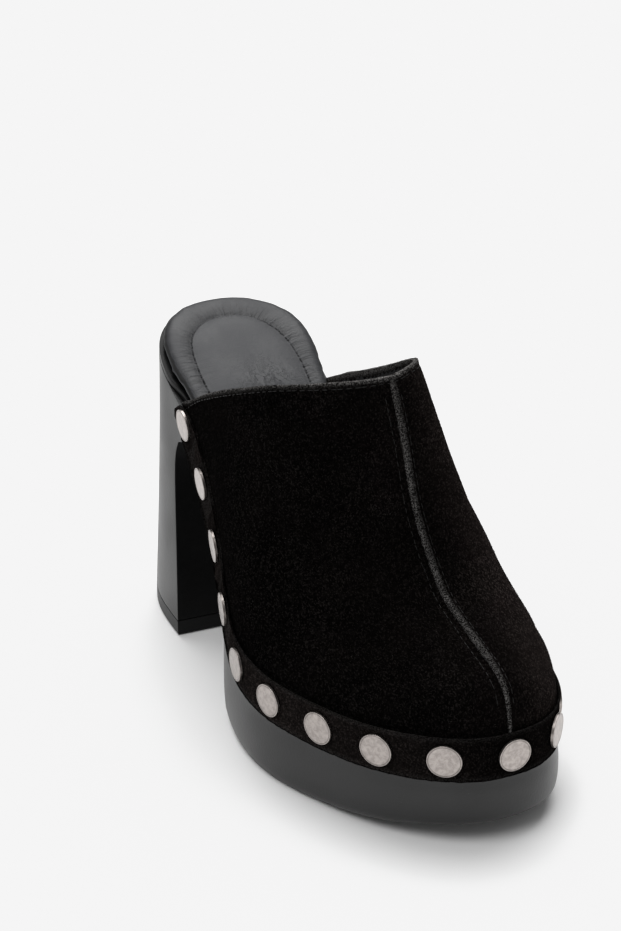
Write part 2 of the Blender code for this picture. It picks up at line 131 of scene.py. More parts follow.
# How much the leather of the footbed's sides stands out, towards the vamp's lining
FOOTBED_SIDES = (
    # station, lateral, medial
    (4.0, 0.0, 0.0),
    (12.0, 0.0, 0.8),
    (20.0, -0.2, 1.5),
    (28.0, -0.3, 1.2),
    (36.0, -0.2, 0.9),
    (40.0, 0.2, 1.0),
    (44.0, 0.8, 1.4),
    (48.0, 1.2, 1.7),
    (52.0, 1.3, 1.7),
    (56.0, 1.3, 1.4),
    (110.0, 1.3, 1.3),
    (122.0, 0.0, 0.0),
)

# Soft troughs and ridges of the vamp, each a short line across the surface
VAMP_FOLDS = (
    # from (station, offset, height), to (station, offset, height), half width, rise
    ((112.0, -34.0, 82.0), (128.0, -26.0, 98.0), 7.0, -0.55),
    ((118.0, -38.0, 64.0), (140.0, -28.0, 78.0), 8.0, 0.50),
    ((150.0, -30.0, 56.0), (163.0, 0.0, 72.0), 6.0, -0.45),
    ((160.0, -32.0, 50.0), (172.0, -2.0, 66.0), 6.0, 0.40),
    ((139.0, 40.5, 84.0), (180.0, 49.0, 51.5), 15.0, 3.3),
    ((100.0, 28.0, 96.0), (112.0, 29.0, 112.0), 8.0, -0.40),
)

# Waves of the vamp and the rand: rise in mm, waves per metre, seed
VAMP_WAVES = ((0.22, 42.0, 1), (0.07, 160.0, 2))
RAND_WAVES = ((0.10, 60.0, 8), (0.04, 300.0, 9))

# Ditches and swells of the vamp by their rise and width in mm, its binding and its wall
SEAM_DITCH, SEAM_DITCH_WIDTH = 0.38, 1.1
SEAM_SWELL, SEAM_SWELL_WIDTH = 0.25, 2.2
STITCH_DITCH, STITCH_DITCH_WIDTH = 0.30, 1.0
SEAM_ROW_SHIFT = 0.25
LIP_WIDTH = 9.0
LIP_WAVE = 0.22
BINDING = 2.7
WALL, WALL_SLACK = 2.0, 0.02

# Lateral end of the collar: the station it begins at, its length, width and lift
CORNER, CORNER_LENGTH, CORNER_WIDTH, CORNER_LIFT = 61.0, 9.0, 5.0, 1.8

# Ruffle of the raised seam: rise in mm, waves per metre, seed; and how its ends thin out
SEAM_RUFFLE = ((0.14, 420.0, 5), (0.14, 1100.0, 6))
SEAM_TOE_RADIUS, SEAM_TOE_STEP = 0.45, 0.02
SEAM_COLLAR_RADIUS, SEAM_COLLAR_STEP = 0.4, 0.2

# Loose fibres of the nap: their number, length in mm, seed and how far they are rubbed pale, which
# below 0.3 is scaled by the painted light of the suede
FIBRES = {
    "vamp_nap": (70000, 0.5, 21, 0.09),
    "collar_nap": (8000, 0.36, 25, 0.8),
    "seam_nap": (15000, 0.42, 31, 0.42),
    "rand_nap": (26000, 0.45, 41, 0.14),
}
FIBRE_HALF_WIDTH = 0.06

# Stations between which the rand and the studs face straight out to the side
RAND_FRONT, RAND_BACK = 175.0, 60.0

# Rand in mm: its height, how far its face lies in, and how it leans along the lateral wing
RAND_HEIGHT = 16.0
RAND_SINK = 0.7
WING_END, WING_LENGTH = 125.0, 25.0
WING_TOP, WING_BOTTOM = 0.4, 0.8
TIP, TIP_LENGTH, TIP_DROP = 51.0, 4.0, 1.4
TIP_END, TIP_END_LENGTH = 42.0, 3.0
HEM, HEM_WAVE = 0.12, 0.26

# Studs: a disc of this radius and depth in mm, then rings on its face by their width and rise
STUD_RADIUS = 5.9
STUD_DEPTH = 0.95
STUD_RINGS = ((0.04, 0.08), (0.08, 0.05), (0.14, 0.0), (0.10, -0.06), (0.16, 0.03), (0.25, 0.01),
              (2.0, 0.05))
# Radius and width in mm of a dark ring of painted shade in the groove near the rim
STUD_GROOVE, STUD_GROOVE_WIDTH = 5.46, 0.12
STUD_HEIGHT = 0.60
STUD_TURN = 1.7

# Faces that look to the front of the shoe, faces under the sole, and upright sides
# Faces that look to the front by this bound get painted shade: a darker, duller copy of their
# finish
BREAST = -0.6
UNDER, TREAD_HEIGHT = -0.9, 9.0
UPRIGHT = 0.45

# Footbed in mm: remesh size, how far its padding may swell, step of the channel's line, where it
# is held and fades under the vamp, one layer of its side, its rises and falls, and its arch
FOOTBED_VOXEL = 1.7
FOOTBED_SWELL = 0.35
CLOTH_FRAMES = 20
CHANNEL_STEP = 0.5
HELD_FRONT = 112.0
FOOTBED_FRONT, FOOTBED_FADE = 118.0, 10.0
FOOTBED_LAYER = 1.25
BORDER_RISE, MIDDLE_RISE = 0.12, 0.30
EDGE_FALL, EDGE_WIDTH = 0.32, 1.8
GROOVE = ((0.30, 0.6), (0.42, 3.2))
PUCKER, FINE_PUCKER = 0.24, 0.22
ARCH_STATION, ARCH_LENGTH = 62.0, 15.0
ARCH_OFFSET, ARCH_WIDTH = 3.0, 10.0

# Leathers: the colour they start from and its share, roughness, gleam, pores per metre and their
# depth in mm
LEATHERS = {
    "wrap_leather": ("leather", 1.0, 0.36, 0.5, 1300.0, 0.05),
    "heel_leather": ("leather", 1.0, 0.36, 0.30, 1300.0, 0.05),
    # Painted shade: darker, duller copies of the leather for the heel's breast and for the board
    # under the footbed
    "breast_leather": ("leather", 0.6, 0.45, 0.12, 1300.0, 0.05),
    "board_leather": ("leather", 0.6, 0.34, 0.10, 1300.0, 0.05),
    "lining_leather": ("footbed", 0.12, 0.7, 0.5, 1000.0, 0.08),
}
LEATHER_CONTRAST = 0.35
LEATHER_LINT = (0.2, 0.2, 0.2, 1.0)
# Painted shade: the lift's breast takes a duller copy of the rubber
RUBBER_GLEAM = {"tread_rubber": 0.34, "breast_rubber": 0.12}
NAP_WARMTH = (1.0, 0.89, 0.86)
SUEDE_LINT = (0.12, 0.115, 0.11, 1.0)
SUEDE_SHEEN = (0.62, 0.57, 0.55, 1.0)

# Studio: sky strength; lamps by direction, spread in degrees and strength; camera; tone curve
SKY = 0.28
LAMPS = {
    "back": ((-0.18, -0.46, -0.87), 56.0, 2.7),
    "side": ((0.46, 0.19, -0.87), 40.0, 1.1),
}
CAMERA_PLACE = (864.5, -324.5, 496.8)
CAMERA_TILT, CAMERA_TURN = 63.803, -23.0
CAMERA_LENS, CAMERA_SENSOR = 101.9, 36.0
WHITE_POINT = (1.0, 0.905)
TONE_CURVE = ((0.80, 0.80), (0.90, 0.885))


def at(station, offset, height):
    """A place given in the last's own millimetres."""
    return Vector((offset * MM + OFFSET_ZERO, STATION_ZERO - station * MM, height * MM))


# ---------------------------------------------------------------- settings


class ClogSizes(bpy.types.PropertyGroup):
    """Sizes of the details that the finish adds."""

    seam_radius: FloatProperty(
        name="Seam Radius", description="Half width of the raised middle seam",
        default=1.2 * MM, subtype="DISTANCE")
    seam_lift: FloatProperty(
        name="Seam Lift", description="How far the seam's middle stands above the suede",
        default=0.42 * MM, subtype="DISTANCE")
    stitch_length: FloatProperty(
        name="Stitch Length", description="Length of one stitch",
        default=2.0 * MM, subtype="DISTANCE")
    stitch_pitch: FloatProperty(
        name="Stitch Pitch", description="Distance from one stitch to the next",
        default=2.7 * MM, subtype="DISTANCE")
    thread: FloatProperty(
        name="Thread", description="Thickness of the thread",
        default=0.33 * MM, subtype="DISTANCE")
    collar_margin: FloatProperty(
        name="Collar Margin", description="Distance of the stitches from the collar's cut edge",
        default=2.3 * MM, subtype="DISTANCE")
    seam_margin: FloatProperty(
        name="Seam Margin", description="Distance of the stitches from the middle seam",
        default=2.95 * MM, subtype="DISTANCE")
    channel_depth: FloatProperty(
        name="Channel Depth", description="Depth of the footbed's channel",
        default=1.2 * MM, subtype="DISTANCE")
    stud_segments: IntProperty(
        name="Stud Segments", description="Segments round a stud", default=48, min=12, max=96)


class ClogColours(bpy.types.PropertyGroup):
    """Colours of the finishes."""

    suede: FloatVectorProperty(
        name="Suede", description="Colour of the suede", subtype="COLOR",
        default=(0.0028, 0.0025, 0.0024))
    raw_edge: FloatVectorProperty(
        name="Raw Edge", description="Colour of cut or rubbed suede", subtype="COLOR",
        default=(0.150, 0.144, 0.140))
    leather: FloatVectorProperty(
        name="Leather", description="Colour of the platform's and heel's leather", subtype="COLOR",
        default=(0.0022, 0.0023, 0.0025))
    footbed: FloatVectorProperty(
        name="Footbed", description="Colour of the footbed's leather", subtype="COLOR",
        default=(0.0180, 0.0188, 0.0222))
    thread: FloatVectorProperty(
        name="Thread", description="Colour of the thread", subtype="COLOR",
        default=(0.008, 0.0077, 0.0074))
    metal: FloatVectorProperty(
        name="Metal", description="Colour of the studs", subtype="COLOR",
        default=(0.405, 0.366, 0.344))
    rubber: FloatVectorProperty(
        name="Rubber", description="Colour of the lift and tread", subtype="COLOR",
        default=(0.005, 0.005, 0.0052))
    floor: FloatVectorProperty(
        name="Floor", description="Colour of the floor", subtype="COLOR", default=(0.9, 0.9, 0.9))


def sizes():
    return bpy.context.scene.clog_sizes


def colours():
    return bpy.context.scene.clog_colours


# ---------------------------------------------------------------- node helpers


class Nodes:
    """A node tree with short calls to add nodes and to join them."""

    def __init__(self, tree):
        self.tree = tree

    def add(self, kind, inputs=None, **settings):
        node = self.tree.nodes.new(kind)
        for key, value in settings.items():
            setattr(node, key, value)
        for key, value in (inputs or {}).items():
            self.put(node.inputs[key], value)
        return node

    def put(self, socket, value):
        """Set a socket to a value, or link it to another socket."""
        if isinstance(value, bpy.types.NodeSocket):
            self.tree.links.new(value, socket)
        else:
            socket.default_value = value

    def maths(self, operation, first, second=0.0, clamp=False):
        node = self.add("ShaderNodeMath", {0: first, 1: second},
                        operation=operation, use_clamp=clamp)
        return node.outputs[0]

    def product(self, first, second, clamp=False):
        return self.maths("MULTIPLY", first, second, clamp)

    def total(self, first, second):
        return self.maths("ADD", first, second)

    def stored(self, name):
        """Read a number that the piece stores on its points."""
        return self.add("ShaderNodeAttribute", attribute_name=name).outputs["Fac"]

    def relief(self, shader, height, depth, strength):
        """Raise a shader's surface by a height from 0 to 1, which stands for a depth in mm."""
        bump = self.add("ShaderNodeBump", {"Strength": strength, "Distance": depth * MM,
                                           "Height": height})
        self.put(shader.inputs["Normal"], bump.outputs["Normal"])

    def ramp(self, value, low, high, start=0.0, end=1.0):
        """Map a value from one range to another, smoothly and clamped."""
        node = self.add("ShaderNodeMapRange", {"Value": value, "From Min": low, "From Max": high,
                                               "To Min": start, "To Max": end},
                        interpolation_type="SMOOTHSTEP")
        return node.outputs["Result"]

    def mix(self, share, first, second, blend="MIX"):
        node = self.add("ShaderNodeMix", data_type="RGBA", blend_type=blend)
        self.put(node.inputs["Factor"], share)
        self.put(node.inputs["A"], first)
        self.put(node.inputs["B"], second)
        return node.outputs["Result"]

    def noise(self, place, scale, detail=2.0, roughness=0.5, distortion=0.0):
        node = self.add("ShaderNodeTexNoise", {"Vector": place, "Scale": scale, "Detail": detail,
                                               "Roughness": roughness, "Distortion": distortion})
        return node.outputs["Fac"]

    def stretched(self, place, scale, turn=(0.0, 0.0, 0.0)):
        node = self.add("ShaderNodeMapping", {"Vector": place, "Scale": scale, "Rotation": turn})
        return node.outputs["Vector"]

    def group(self, tree, inputs):
        node = self.add("ShaderNodeGroup", node_tree=tree)
        for key, value in inputs.items():
            self.put(node.inputs[key], value)
        return node.outputs


def new_group(name, inputs, outputs):
    """Start a shader node group from its sockets' names, kinds and, for inputs, values."""
    tree = bpy.data.node_groups.new(name, "ShaderNodeTree")
    for label, kind, value in inputs:
        socket = tree.interface.new_socket(label, in_out="INPUT", socket_type=kind)
        if value is not None:
            socket.default_value = value
    for label, kind in outputs:
        tree.interface.new_socket(label, in_out="OUTPUT", socket_type=kind)
    nodes = Nodes(tree)
    return nodes, nodes.add("NodeGroupInput").outputs, nodes.add("NodeGroupOutput").inputs


def shared_group(name, build):
    """Build a node group once and hand out the same one after that."""
    return bpy.data.node_groups.get(name) or build(name)


def build_nap(name):
    """Suede nap: short fibres in brushed patches."""
    nodes, given, out = new_group(
        name,
        (("Vector", "NodeSocketVector", None), ("Fibre", "NodeSocketFloat", 1900.0),
         ("Patch", "NodeSocketFloat", 38.0)),
        (("Shade", "NodeSocketFloat"), ("Height", "NodeSocketFloat")))
    place = given["Vector"]
    brushed = nodes.stretched(place, (1.0, 0.6, 0.8), (0.3, 0.2, 0.5))
    fibre = nodes.noise(brushed, given["Fibre"], 1.0, 0.6, 0.3)
    clump = nodes.noise(place, nodes.product(given["Fibre"], 0.3), 3.0, 0.6)
    patch = nodes.noise(place, given["Patch"], 3.0, 0.55, 0.6)
    lit = nodes.total(nodes.product(nodes.ramp(fibre, 0.50, 0.72), 0.95),
                      nodes.product(nodes.ramp(clump, 0.42, 0.74), 0.30))
    patched = nodes.product(lit, nodes.ramp(patch, 0.30, 0.72, 0.55, 1.10))
    nodes.put(out["Shade"], patched)
    nodes.put(out["Height"], nodes.total(nodes.product(fibre, 0.6),
                                         nodes.product(clump, 0.4)))
    return nodes.tree


def build_grain(name):
    """Leather grain: fine pores on faint wide waves."""
    nodes, given, out = new_group(
        name,
        (("Vector", "NodeSocketVector", None), ("Pore", "NodeSocketFloat", 1300.0),
         ("Wave", "NodeSocketFloat", 70.0)),
        (("Shade", "NodeSocketFloat"), ("Height", "NodeSocketFloat")))
    place = given["Vector"]
    cells = nodes.add("ShaderNodeTexVoronoi", {"Vector": place, "Scale": given["Pore"]},
                      feature="SMOOTH_F1")
    pore = nodes.ramp(cells.outputs["Distance"], 0.1, 0.6)
    fine = nodes.noise(place, nodes.product(given["Pore"], 0.5), 3.0, 0.6)
    wave = nodes.noise(place, given["Wave"], 2.0, 0.5, 0.3)
    nodes.put(out["Shade"], nodes.total(nodes.product(wave, 0.75),
                                        nodes.product(fine, 0.25)))
    nodes.put(out["Height"], nodes.total(nodes.product(pore, 0.5),
                                         nodes.product(fine, 0.5)))
    return nodes.tree


def build_dust(name):
    """Sparse pale lint: tiny specks, a few of them together."""
    nodes, given, out = new_group(
        name,
        (("Vector", "NodeSocketVector", None), ("Amount", "NodeSocketFloat", 0.5)),
        (("Mask", "NodeSocketFloat"),))
    place = given["Vector"]
    speck = nodes.noise(place, 2600.0, 1.0, 0.5)
    where = nodes.noise(place, 90.0, 2.0, 0.5)
    grown = nodes.product(nodes.ramp(speck, 0.70, 0.78), nodes.ramp(where, 0.48, 0.70))
    nodes.put(out["Mask"], nodes.product(grown, given["Amount"], True))
    return nodes.tree


def start_material(name):
    """A material with its Principled shader and Object coordinates ready."""
    surface = bpy.data.materials.new(name)
    surface.use_nodes = True
    nodes = Nodes(surface.node_tree)
    shader = surface.node_tree.nodes["Principled BSDF"]
    place = nodes.add("ShaderNodeTexCoord").outputs["Object"]
    return surface, nodes, shader, place


def opaque(colour):
    return (*colour, 1.0)


def times(colour, factor):
    return (*(part * factor for part in colour), 1.0)


def suede_material():
    """Black suede: brushed nap, paler where it is cut or rubbed, and lighter and warmer where light
    is painted with the nap's lie.
    """
    surface, nodes, shader, place = start_material("black_suede")
    nap = nodes.group(shared_group("suede_nap", build_nap), {"Vector": place})
    dust = nodes.group(shared_group("lint", build_dust), {"Vector": place, "Amount": 0.35})
    tint = nodes.noise(place, 30.0, 2.0, 0.5)
    colour = colours()
    warm = [part * share for part, share in zip(colour.suede, NAP_WARMTH)]
    dark = nodes.mix(nodes.ramp(tint, 0.40, 0.68), times(colour.suede, 0.18), times(warm, 0.45))
    # Painted light with the nap's lie: the stored mask makes the suede's base and fibres lighter
    # and warmer
    brushed = nodes.stored("brushed")
    deep = nodes.mix(brushed, dark, times(warm, 2.6))
    lay = nodes.mix(brushed, times(colour.suede, 2.8), times(warm, 15.0))
    lit = nodes.mix(nap["Shade"], deep, lay)
    # Paler where the suede is cut or rubbed, and where light is painted on it, both read from one
    # stored mask
    fleck = nodes.noise(place, 2100.0, 1.0, 0.5)
    frayed_and_painted_light = nodes.product(nodes.stored("raw"), nodes.ramp(fleck, 0.40, 0.64, 0.06, 1.25), True)
    edged = nodes.mix(frayed_and_painted_light, lit, opaque(colour.raw_edge))
    nodes.put(shader.inputs["Base Color"], nodes.mix(dust["Mask"], edged, SUEDE_LINT))
    shader.inputs["Roughness"].default_value = 1.0
    shader.inputs["Specular IOR Level"].default_value = 0.0
    shader.inputs["Sheen Weight"].default_value = 0.004
    shader.inputs["Sheen Roughness"].default_value = 0.5
    shader.inputs["Sheen Tint"].default_value = SUEDE_SHEEN
    nodes.relief(shader, nap["Height"], 0.22, 0.8)
    return surface


def leather_material(name):
    """Smooth leather: fine pores, faint waves of shade and gloss."""
    base, share, roughness, gleam, pore, depth = LEATHERS[name]
    colour = [part * share for part in getattr(colours(), base)]
    surface, nodes, shader, place = start_material(name)
    grain = nodes.group(shared_group("leather_grain", build_grain), {"Vector": place, "Pore": pore})
    dust = nodes.group(shared_group("lint", build_dust), {"Vector": place, "Amount": 0.12})
    scuff = nodes.noise(place, 60.0, 3.0, 0.5, 0.3)
    shade = nodes.mix(nodes.ramp(grain["Shade"], 0.3, 0.7), times(colour, 1.0 - LEATHER_CONTRAST),
                      times(colour, 1.0 + LEATHER_CONTRAST))
    nodes.put(shader.inputs["Base Color"], nodes.mix(dust["Mask"], shade, LEATHER_LINT))
    gloss = nodes.ramp(scuff, 0.3, 0.7, roughness - 0.02, roughness + 0.03)
    nodes.put(shader.inputs["Roughness"], gloss)
    shader.inputs["Specular IOR Level"].default_value = gleam
    nodes.relief(shader, grain["Height"], depth, 0.6)
    return surface


def footbed_material():
    """Footbed leather: gathers beside the channel, fine creases on the arch, layers at the side,
    with painted shade in the creases, the gathers' dips, the channel's groove, on the low side and
    the border, and painted highlight lines along the side's layers.
    """
    surface, nodes, shader, place = start_material("footbed_leather")
    colour = colours().footbed
    stored = nodes.stored
    grain = nodes.group(shared_group("leather_grain", build_grain),
                        {"Vector": place, "Pore": 1100.0})
    # Creases of the arch: the middle values of a noise that runs across the foot
    turned = nodes.stretched(place, (1.0, 0.6, 0.6), (0.0, 0.0, 0.5))
    lines = nodes.noise(turned, 330.0, 5.0, 0.68, 0.8)
    fold = nodes.maths("ABSOLUTE", nodes.maths("SUBTRACT", lines, 0.5))
    cut = nodes.product(nodes.ramp(fold, 0.0, 0.05, 1.0, 0.0), stored("crease"))
    # Gathers and the sewn line: both follow the channel by the run along it and the reach from it
    beside = nodes.add("ShaderNodeCombineXYZ", {"X": stored("run"), "Y": stored("reach")})
    pleats = nodes.stretched(beside.outputs["Vector"], (1.0, 0.09, 1.0))
    pleat = nodes.noise(pleats, 0.85, 3.0, 0.65, 0.25)
    gathered = nodes.product(nodes.ramp(pleat, 0.34, 0.66), stored("gather"))
    from_line = nodes.maths("ABSOLUTE", stored("across"))
    line = nodes.product(nodes.ramp(from_line, 0.15, 0.55, 1.0, 0.0), stored("sewn"))
    sewn = nodes.product(line, nodes.ramp(pleat, 0.62, 0.40, 0.35, 1.0))
    # Painted highlight lines along the side, one at each layer's edge
    layer = nodes.maths("PINGPONG", stored("layer"), FOOTBED_LAYER)
    painted_layer_highlight = nodes.product(nodes.ramp(layer, 0.75, 1.2), nodes.ramp(stored("side"), 0.3, 0.9))
    worn = nodes.mix(nodes.ramp(grain["Shade"], 0.3, 0.7), times(colour, 0.84), times(colour, 1.12))
    # Painted shade: darker along the arch's creases
    lined = nodes.mix(nodes.product(cut, 0.45), worn, times(colour, 0.3))
    # Painted shade: darker in the dips between the gathers
    dipped = nodes.mix(nodes.product(nodes.ramp(pleat, 0.62, 0.36), stored("gather")), lined,
                       times(colour, 0.45))
    # The dark sewn line along the channel, with painted shade of its groove; Metallic on the line
    # darkens its reflection too
    thread = nodes.mix(sewn, dipped, times(colour, 0.10))
    # Painted shade on the pad's low side, its lateral edge and, faintly, the border
    shaded = nodes.mix(stored("side"), thread, times(colour, 0.12))
    nodes.put(shader.inputs["Base Color"], nodes.mix(painted_layer_highlight, shaded, times(colour, 1.5)))
    nodes.put(shader.inputs["Roughness"], nodes.ramp(grain["Shade"], 0.3, 0.7, 0.46, 0.56))
    nodes.put(shader.inputs["Metallic"], sewn)
    shader.inputs["Specular IOR Level"].default_value = 0.38
    dent = nodes.maths("SUBTRACT", nodes.product(grain["Height"], 0.30), cut)
    height = nodes.total(dent, nodes.product(gathered, 1.6))
    nodes.relief(shader, height, 0.14, 0.75)
    return surface


def stud_material():
    """Nickel with a satin, slightly cloudy face and a dark ring of painted shade in the groove near
    its rim.
    """
    surface, nodes, shader, place = start_material("satin_nickel")
    colour = colours().metal
    cloud = nodes.noise(place, 520.0, 5.0, 0.68, 0.4)
    rub = nodes.noise(nodes.stretched(place, (1.0, 1.0, 3.0)), 900.0, 3.0, 0.6)
    clouded = nodes.mix(nodes.ramp(cloud, 0.36, 0.66), times(colour, 0.74), times(colour, 1.08))
    # Painted shade: a dark ring along the groove near the rim
    face = nodes.mix(nodes.stored("rim"), clouded, times(colour, 0.22))
    nodes.put(shader.inputs["Base Color"], face)
    nodes.put(shader.inputs["Roughness"], nodes.ramp(cloud, 0.3, 0.7, 0.28, 0.36))
    shader.inputs["Metallic"].default_value = 1.0
    nodes.relief(shader, rub, 0.05, 0.25)
    return surface


def rubber_material(name):
    """Fine-textured rubber of the lift and the tread."""
    surface, nodes, shader, place = start_material(name)
    colour = colours().rubber
    grain = nodes.group(shared_group("leather_grain", build_grain),
                        {"Vector": place, "Pore": 900.0})
    worn = nodes.mix(grain["Shade"], times(colour, 0.7), times(colour, 1.5))
    nodes.put(shader.inputs["Base Color"], worn)
    shader.inputs["Roughness"].default_value = 0.5
    shader.inputs["Specular IOR Level"].default_value = RUBBER_GLEAM[name]
    rib = nodes.add("ShaderNodeTexWave", {"Vector": place, "Scale": 120.0, "Distortion": 0.0},
                    wave_type="BANDS", bands_direction="DIAGONAL")
    low = nodes.total(nodes.product(rib.outputs["Fac"], 0.8), nodes.product(grain["Height"], 0.3))
    under = nodes.add("ShaderNodeSeparateXYZ", {0: place}).outputs["Z"]
    nodes.relief(shader, low, 0.3, nodes.ramp(under, 0.2 * MM, 0.9 * MM, 0.5, 0.12))
    return surface


def thread_material():
    """Waxed thread, twisted, with a dull gloss."""
    surface, nodes, shader, place = start_material("waxed_thread")
    twist = nodes.noise(place, 3000.0, 2.0, 0.5)
    wound = nodes.mix(twist, times(colours().thread, 0.5), times(colours().thread, 1.8))
    nodes.put(shader.inputs["Base Color"], wound)
    shader.inputs["Roughness"].default_value = 0.6
    shader.inputs["Specular IOR Level"].default_value = 0.2
    nodes.relief(shader, twist, 0.1, 0.6)
    return surface


def material(name, build, *values):
    """Build a material once and hand out the same one after that."""
    return bpy.data.materials.get(name) or build(*values)


def suede():
    return material("black_suede", suede_material)


def leather(name):
    return material(name, leather_material, name)


def rubber(name):
    return material(name, rubber_material, name)


# ---------------------------------------------------------------- mesh helpers


def deselect_all():
    for item in bpy.context.view_layer.objects:
        item.select_set(False)


def select_only(piece):
    """Make one object the only selected and active one."""
    deselect_all()
    piece.select_set(True)
    bpy.context.view_layer.objects.active = piece


def new_piece(name, data):
    """Put a mesh, curve, light or camera into the scene as an object."""
    piece = bpy.data.objects.new(name, data)
    bpy.context.scene.collection.objects.link(piece)
    return piece


def working_copy(node, name):
    """Copy a node of the frame into a mesh that can be worked on: merged points, faces of four."""
    mesh = NODES[node].data.copy()
    mesh.name = name
    mesh.materials.clear()
    piece = new_piece(name, mesh)
    select_only(piece)
    bpy.ops.mesh.customdata_custom_splitnormals_clear()
    bpy.ops.object.mode_set(mode="EDIT")
    bpy.ops.mesh.select_all(action="SELECT")
    bpy.ops.mesh.remove_doubles(threshold=0.001 * MM)
    bpy.ops.mesh.tris_convert_to_quads(face_threshold=math.pi, shape_threshold=math.pi)
    bpy.ops.object.mode_set(mode="OBJECT")
    return piece


def apply_modifiers(piece):
    select_only(piece)
    for modifier in list(piece.modifiers):
        bpy.ops.object.modifier_apply(modifier=modifier.name)


def subdivide_smooth(piece, levels):
    """Round a mesh with the subdivision surface rule and keep the result."""
    modifier = piece.modifiers.new("round", "SUBSURF")
    modifier.levels = levels
    modifier.render_levels = levels
    apply_modifiers(piece)


def crease_sharp_edges(bm, angle, strength):
    """Hold the edges that bend by more than an angle."""
    crease = bm.edges.layers.float.get("crease_edge") or bm.edges.layers.float.new("crease_edge")
    for edge in bm.edges:
        if len(edge.link_faces) == 2 and edge.calc_face_angle(0.0) > math.radians(angle):
            edge[crease] = strength


def points_of(piece):
    """The mesh's points as rows of an array."""
    flat = np.empty(len(piece.data.vertices) * 3)
    piece.data.vertices.foreach_get("co", flat)
    return flat.reshape(-1, 3)


def normals_of(piece):
    flat = np.empty(len(piece.data.vertices) * 3)
    piece.data.vertex_normals.foreach_get("vector", flat)
    return flat.reshape(-1, 3)


def set_points(piece, points):
    piece.data.vertices.foreach_set("co", points.ravel())
    piece.data.update()


def stations_of(points):
    return (STATION_ZERO - points[:, 1]) / MM


def attribute_of(piece, name):
    values = np.empty(len(piece.data.vertices))
    piece.data.attributes[name].data.foreach_get("value", values)
    return values


def set_attribute(piece, name, values):
    """Store one number for each point under a name that a material reads."""
    layer = piece.data.attributes.get(name) or piece.data.attributes.new(name, "FLOAT", "POINT")
    layer.data.foreach_set("value", np.asarray(values, np.float32))


def smooth_shade(piece, angle):
    select_only(piece)
    bpy.ops.object.shade_smooth_by_angle(angle=math.radians(angle))


def two_finishes(piece, main, second, chosen):
    """Finish a piece in one material and its chosen faces in a second one."""
    piece.data.materials.append(main)
    piece.data.materials.append(second)
    piece.data.polygons.foreach_set("material_index", np.array(chosen, np.int32))


def over_faces(piece, values, pick):
    """The lowest or highest of the points' values on each face, as pick is min or max."""
    return np.array([pick(values[i] for i in face.vertices) for face in piece.data.polygons])


def bell(distance, width):
    """1 on a line, and less and less over a width on both sides of it."""
    return np.exp(-(distance / width) ** 2)


def clamped(values):
    return np.clip(values, 0, 1)


def settle(piece, *nodes, slot="suede"):
    """Put a finished piece on the frame in place of its nodes."""
    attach(piece, "root")
    if nodes:
        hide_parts(*nodes)


def rounded_noise(points, scale, seed):
    """Smooth noise, one value in about -1 to 1 for each point, at so many waves per metre."""
    shift = Vector((seed * 3.1, seed * 1.7, seed * 2.3))
    return np.array([noise.noise(Vector(point) * scale + shift) for point in points])


def waves_of(points, waves):
    """Several smooth noises together, each given by its rise, waves per metre and seed."""
    return sum(rise * rounded_noise(points, scale, seed) for rise, scale, seed in waves)


def distance_to(points, line):
    """Distance of each point from a dense line, and the number of the line's nearest point."""
    tree = KDTree(len(line))
    for number, place in enumerate(line):
        tree.insert(place, number)
    tree.balance()
    found = [tree.find(point) for point in points]
    return np.array([item[2] for item in found]), np.array([item[1] for item in found])


def dense_line(places, step):
    """Run a smooth curve through places and read it at an even step."""
    places = np.array([tuple(place) for place in places])
    ends = np.vstack([2 * places[0] - places[1], places, 2 * places[-1] - places[-2]])
    fine = []
    for a, b, c, d in zip(ends, ends[1:], ends[2:], ends[3:]):
        for t in np.linspace(0, 1, 24, endpoint=False):
            fine.append(0.5 * (2 * b + (c - a) * t + (2 * a - 5 * b + 4 * c - d) * t**2
                               + (3 * b - a - 3 * c + d) * t**3))
    fine = np.array(fine + [places[-1]])
    run = np.concatenate([[0], np.cumsum(np.linalg.norm(np.diff(fine, axis=0), axis=1))])
    wanted = np.arange(0, run[-1], step)
    return np.stack([np.interp(wanted, run, fine[:, k]) for k in range(3)], axis=1)


def seat_line(line, surface):
    """Drop a line onto a surface; returns its places and the surface's evened normals there."""
    places = []
    normals = []
    for point in line:
        place, normal, _, _ = surface.find_nearest(Vector(point))
        places.append(place)
        normals.append(normal)
    evened = [sum(normals[max(i - 3, 0):i + 4], Vector()).normalized() for i in range(len(places))]
    return places, evened


def shifted_line(places, normals, distance, surface):
    """A line beside another on the same surface, to its left for a positive distance."""
    count = len(places)
    moved = []
    for number, (place, normal) in enumerate(zip(places, normals)):
        ahead = places[min(number + 3, count - 1)] - places[max(number - 3, 0)]
        moved.append(place + normal.cross(ahead).normalized() * distance)
    return seat_line(moved, surface)


def stitch_shape():
    """One stitch along X: a thin bead with drawn-in ends."""
    size = sizes()
    deselect_all()
    bpy.ops.mesh.primitive_uv_sphere_add(segments=8, ring_count=6, radius=0.5,
                                         rotation=(0, math.pi / 2, 0))
    bead = bpy.context.active_object
    bpy.ops.object.transform_apply(location=False, rotation=True, scale=False)
    mesh = bead.data.copy()
    bpy.data.objects.remove(bead, do_unlink=True)
    mesh.transform(Matrix.Diagonal((size.stitch_length, size.thread, size.thread * 0.9, 1.0)))
    return mesh


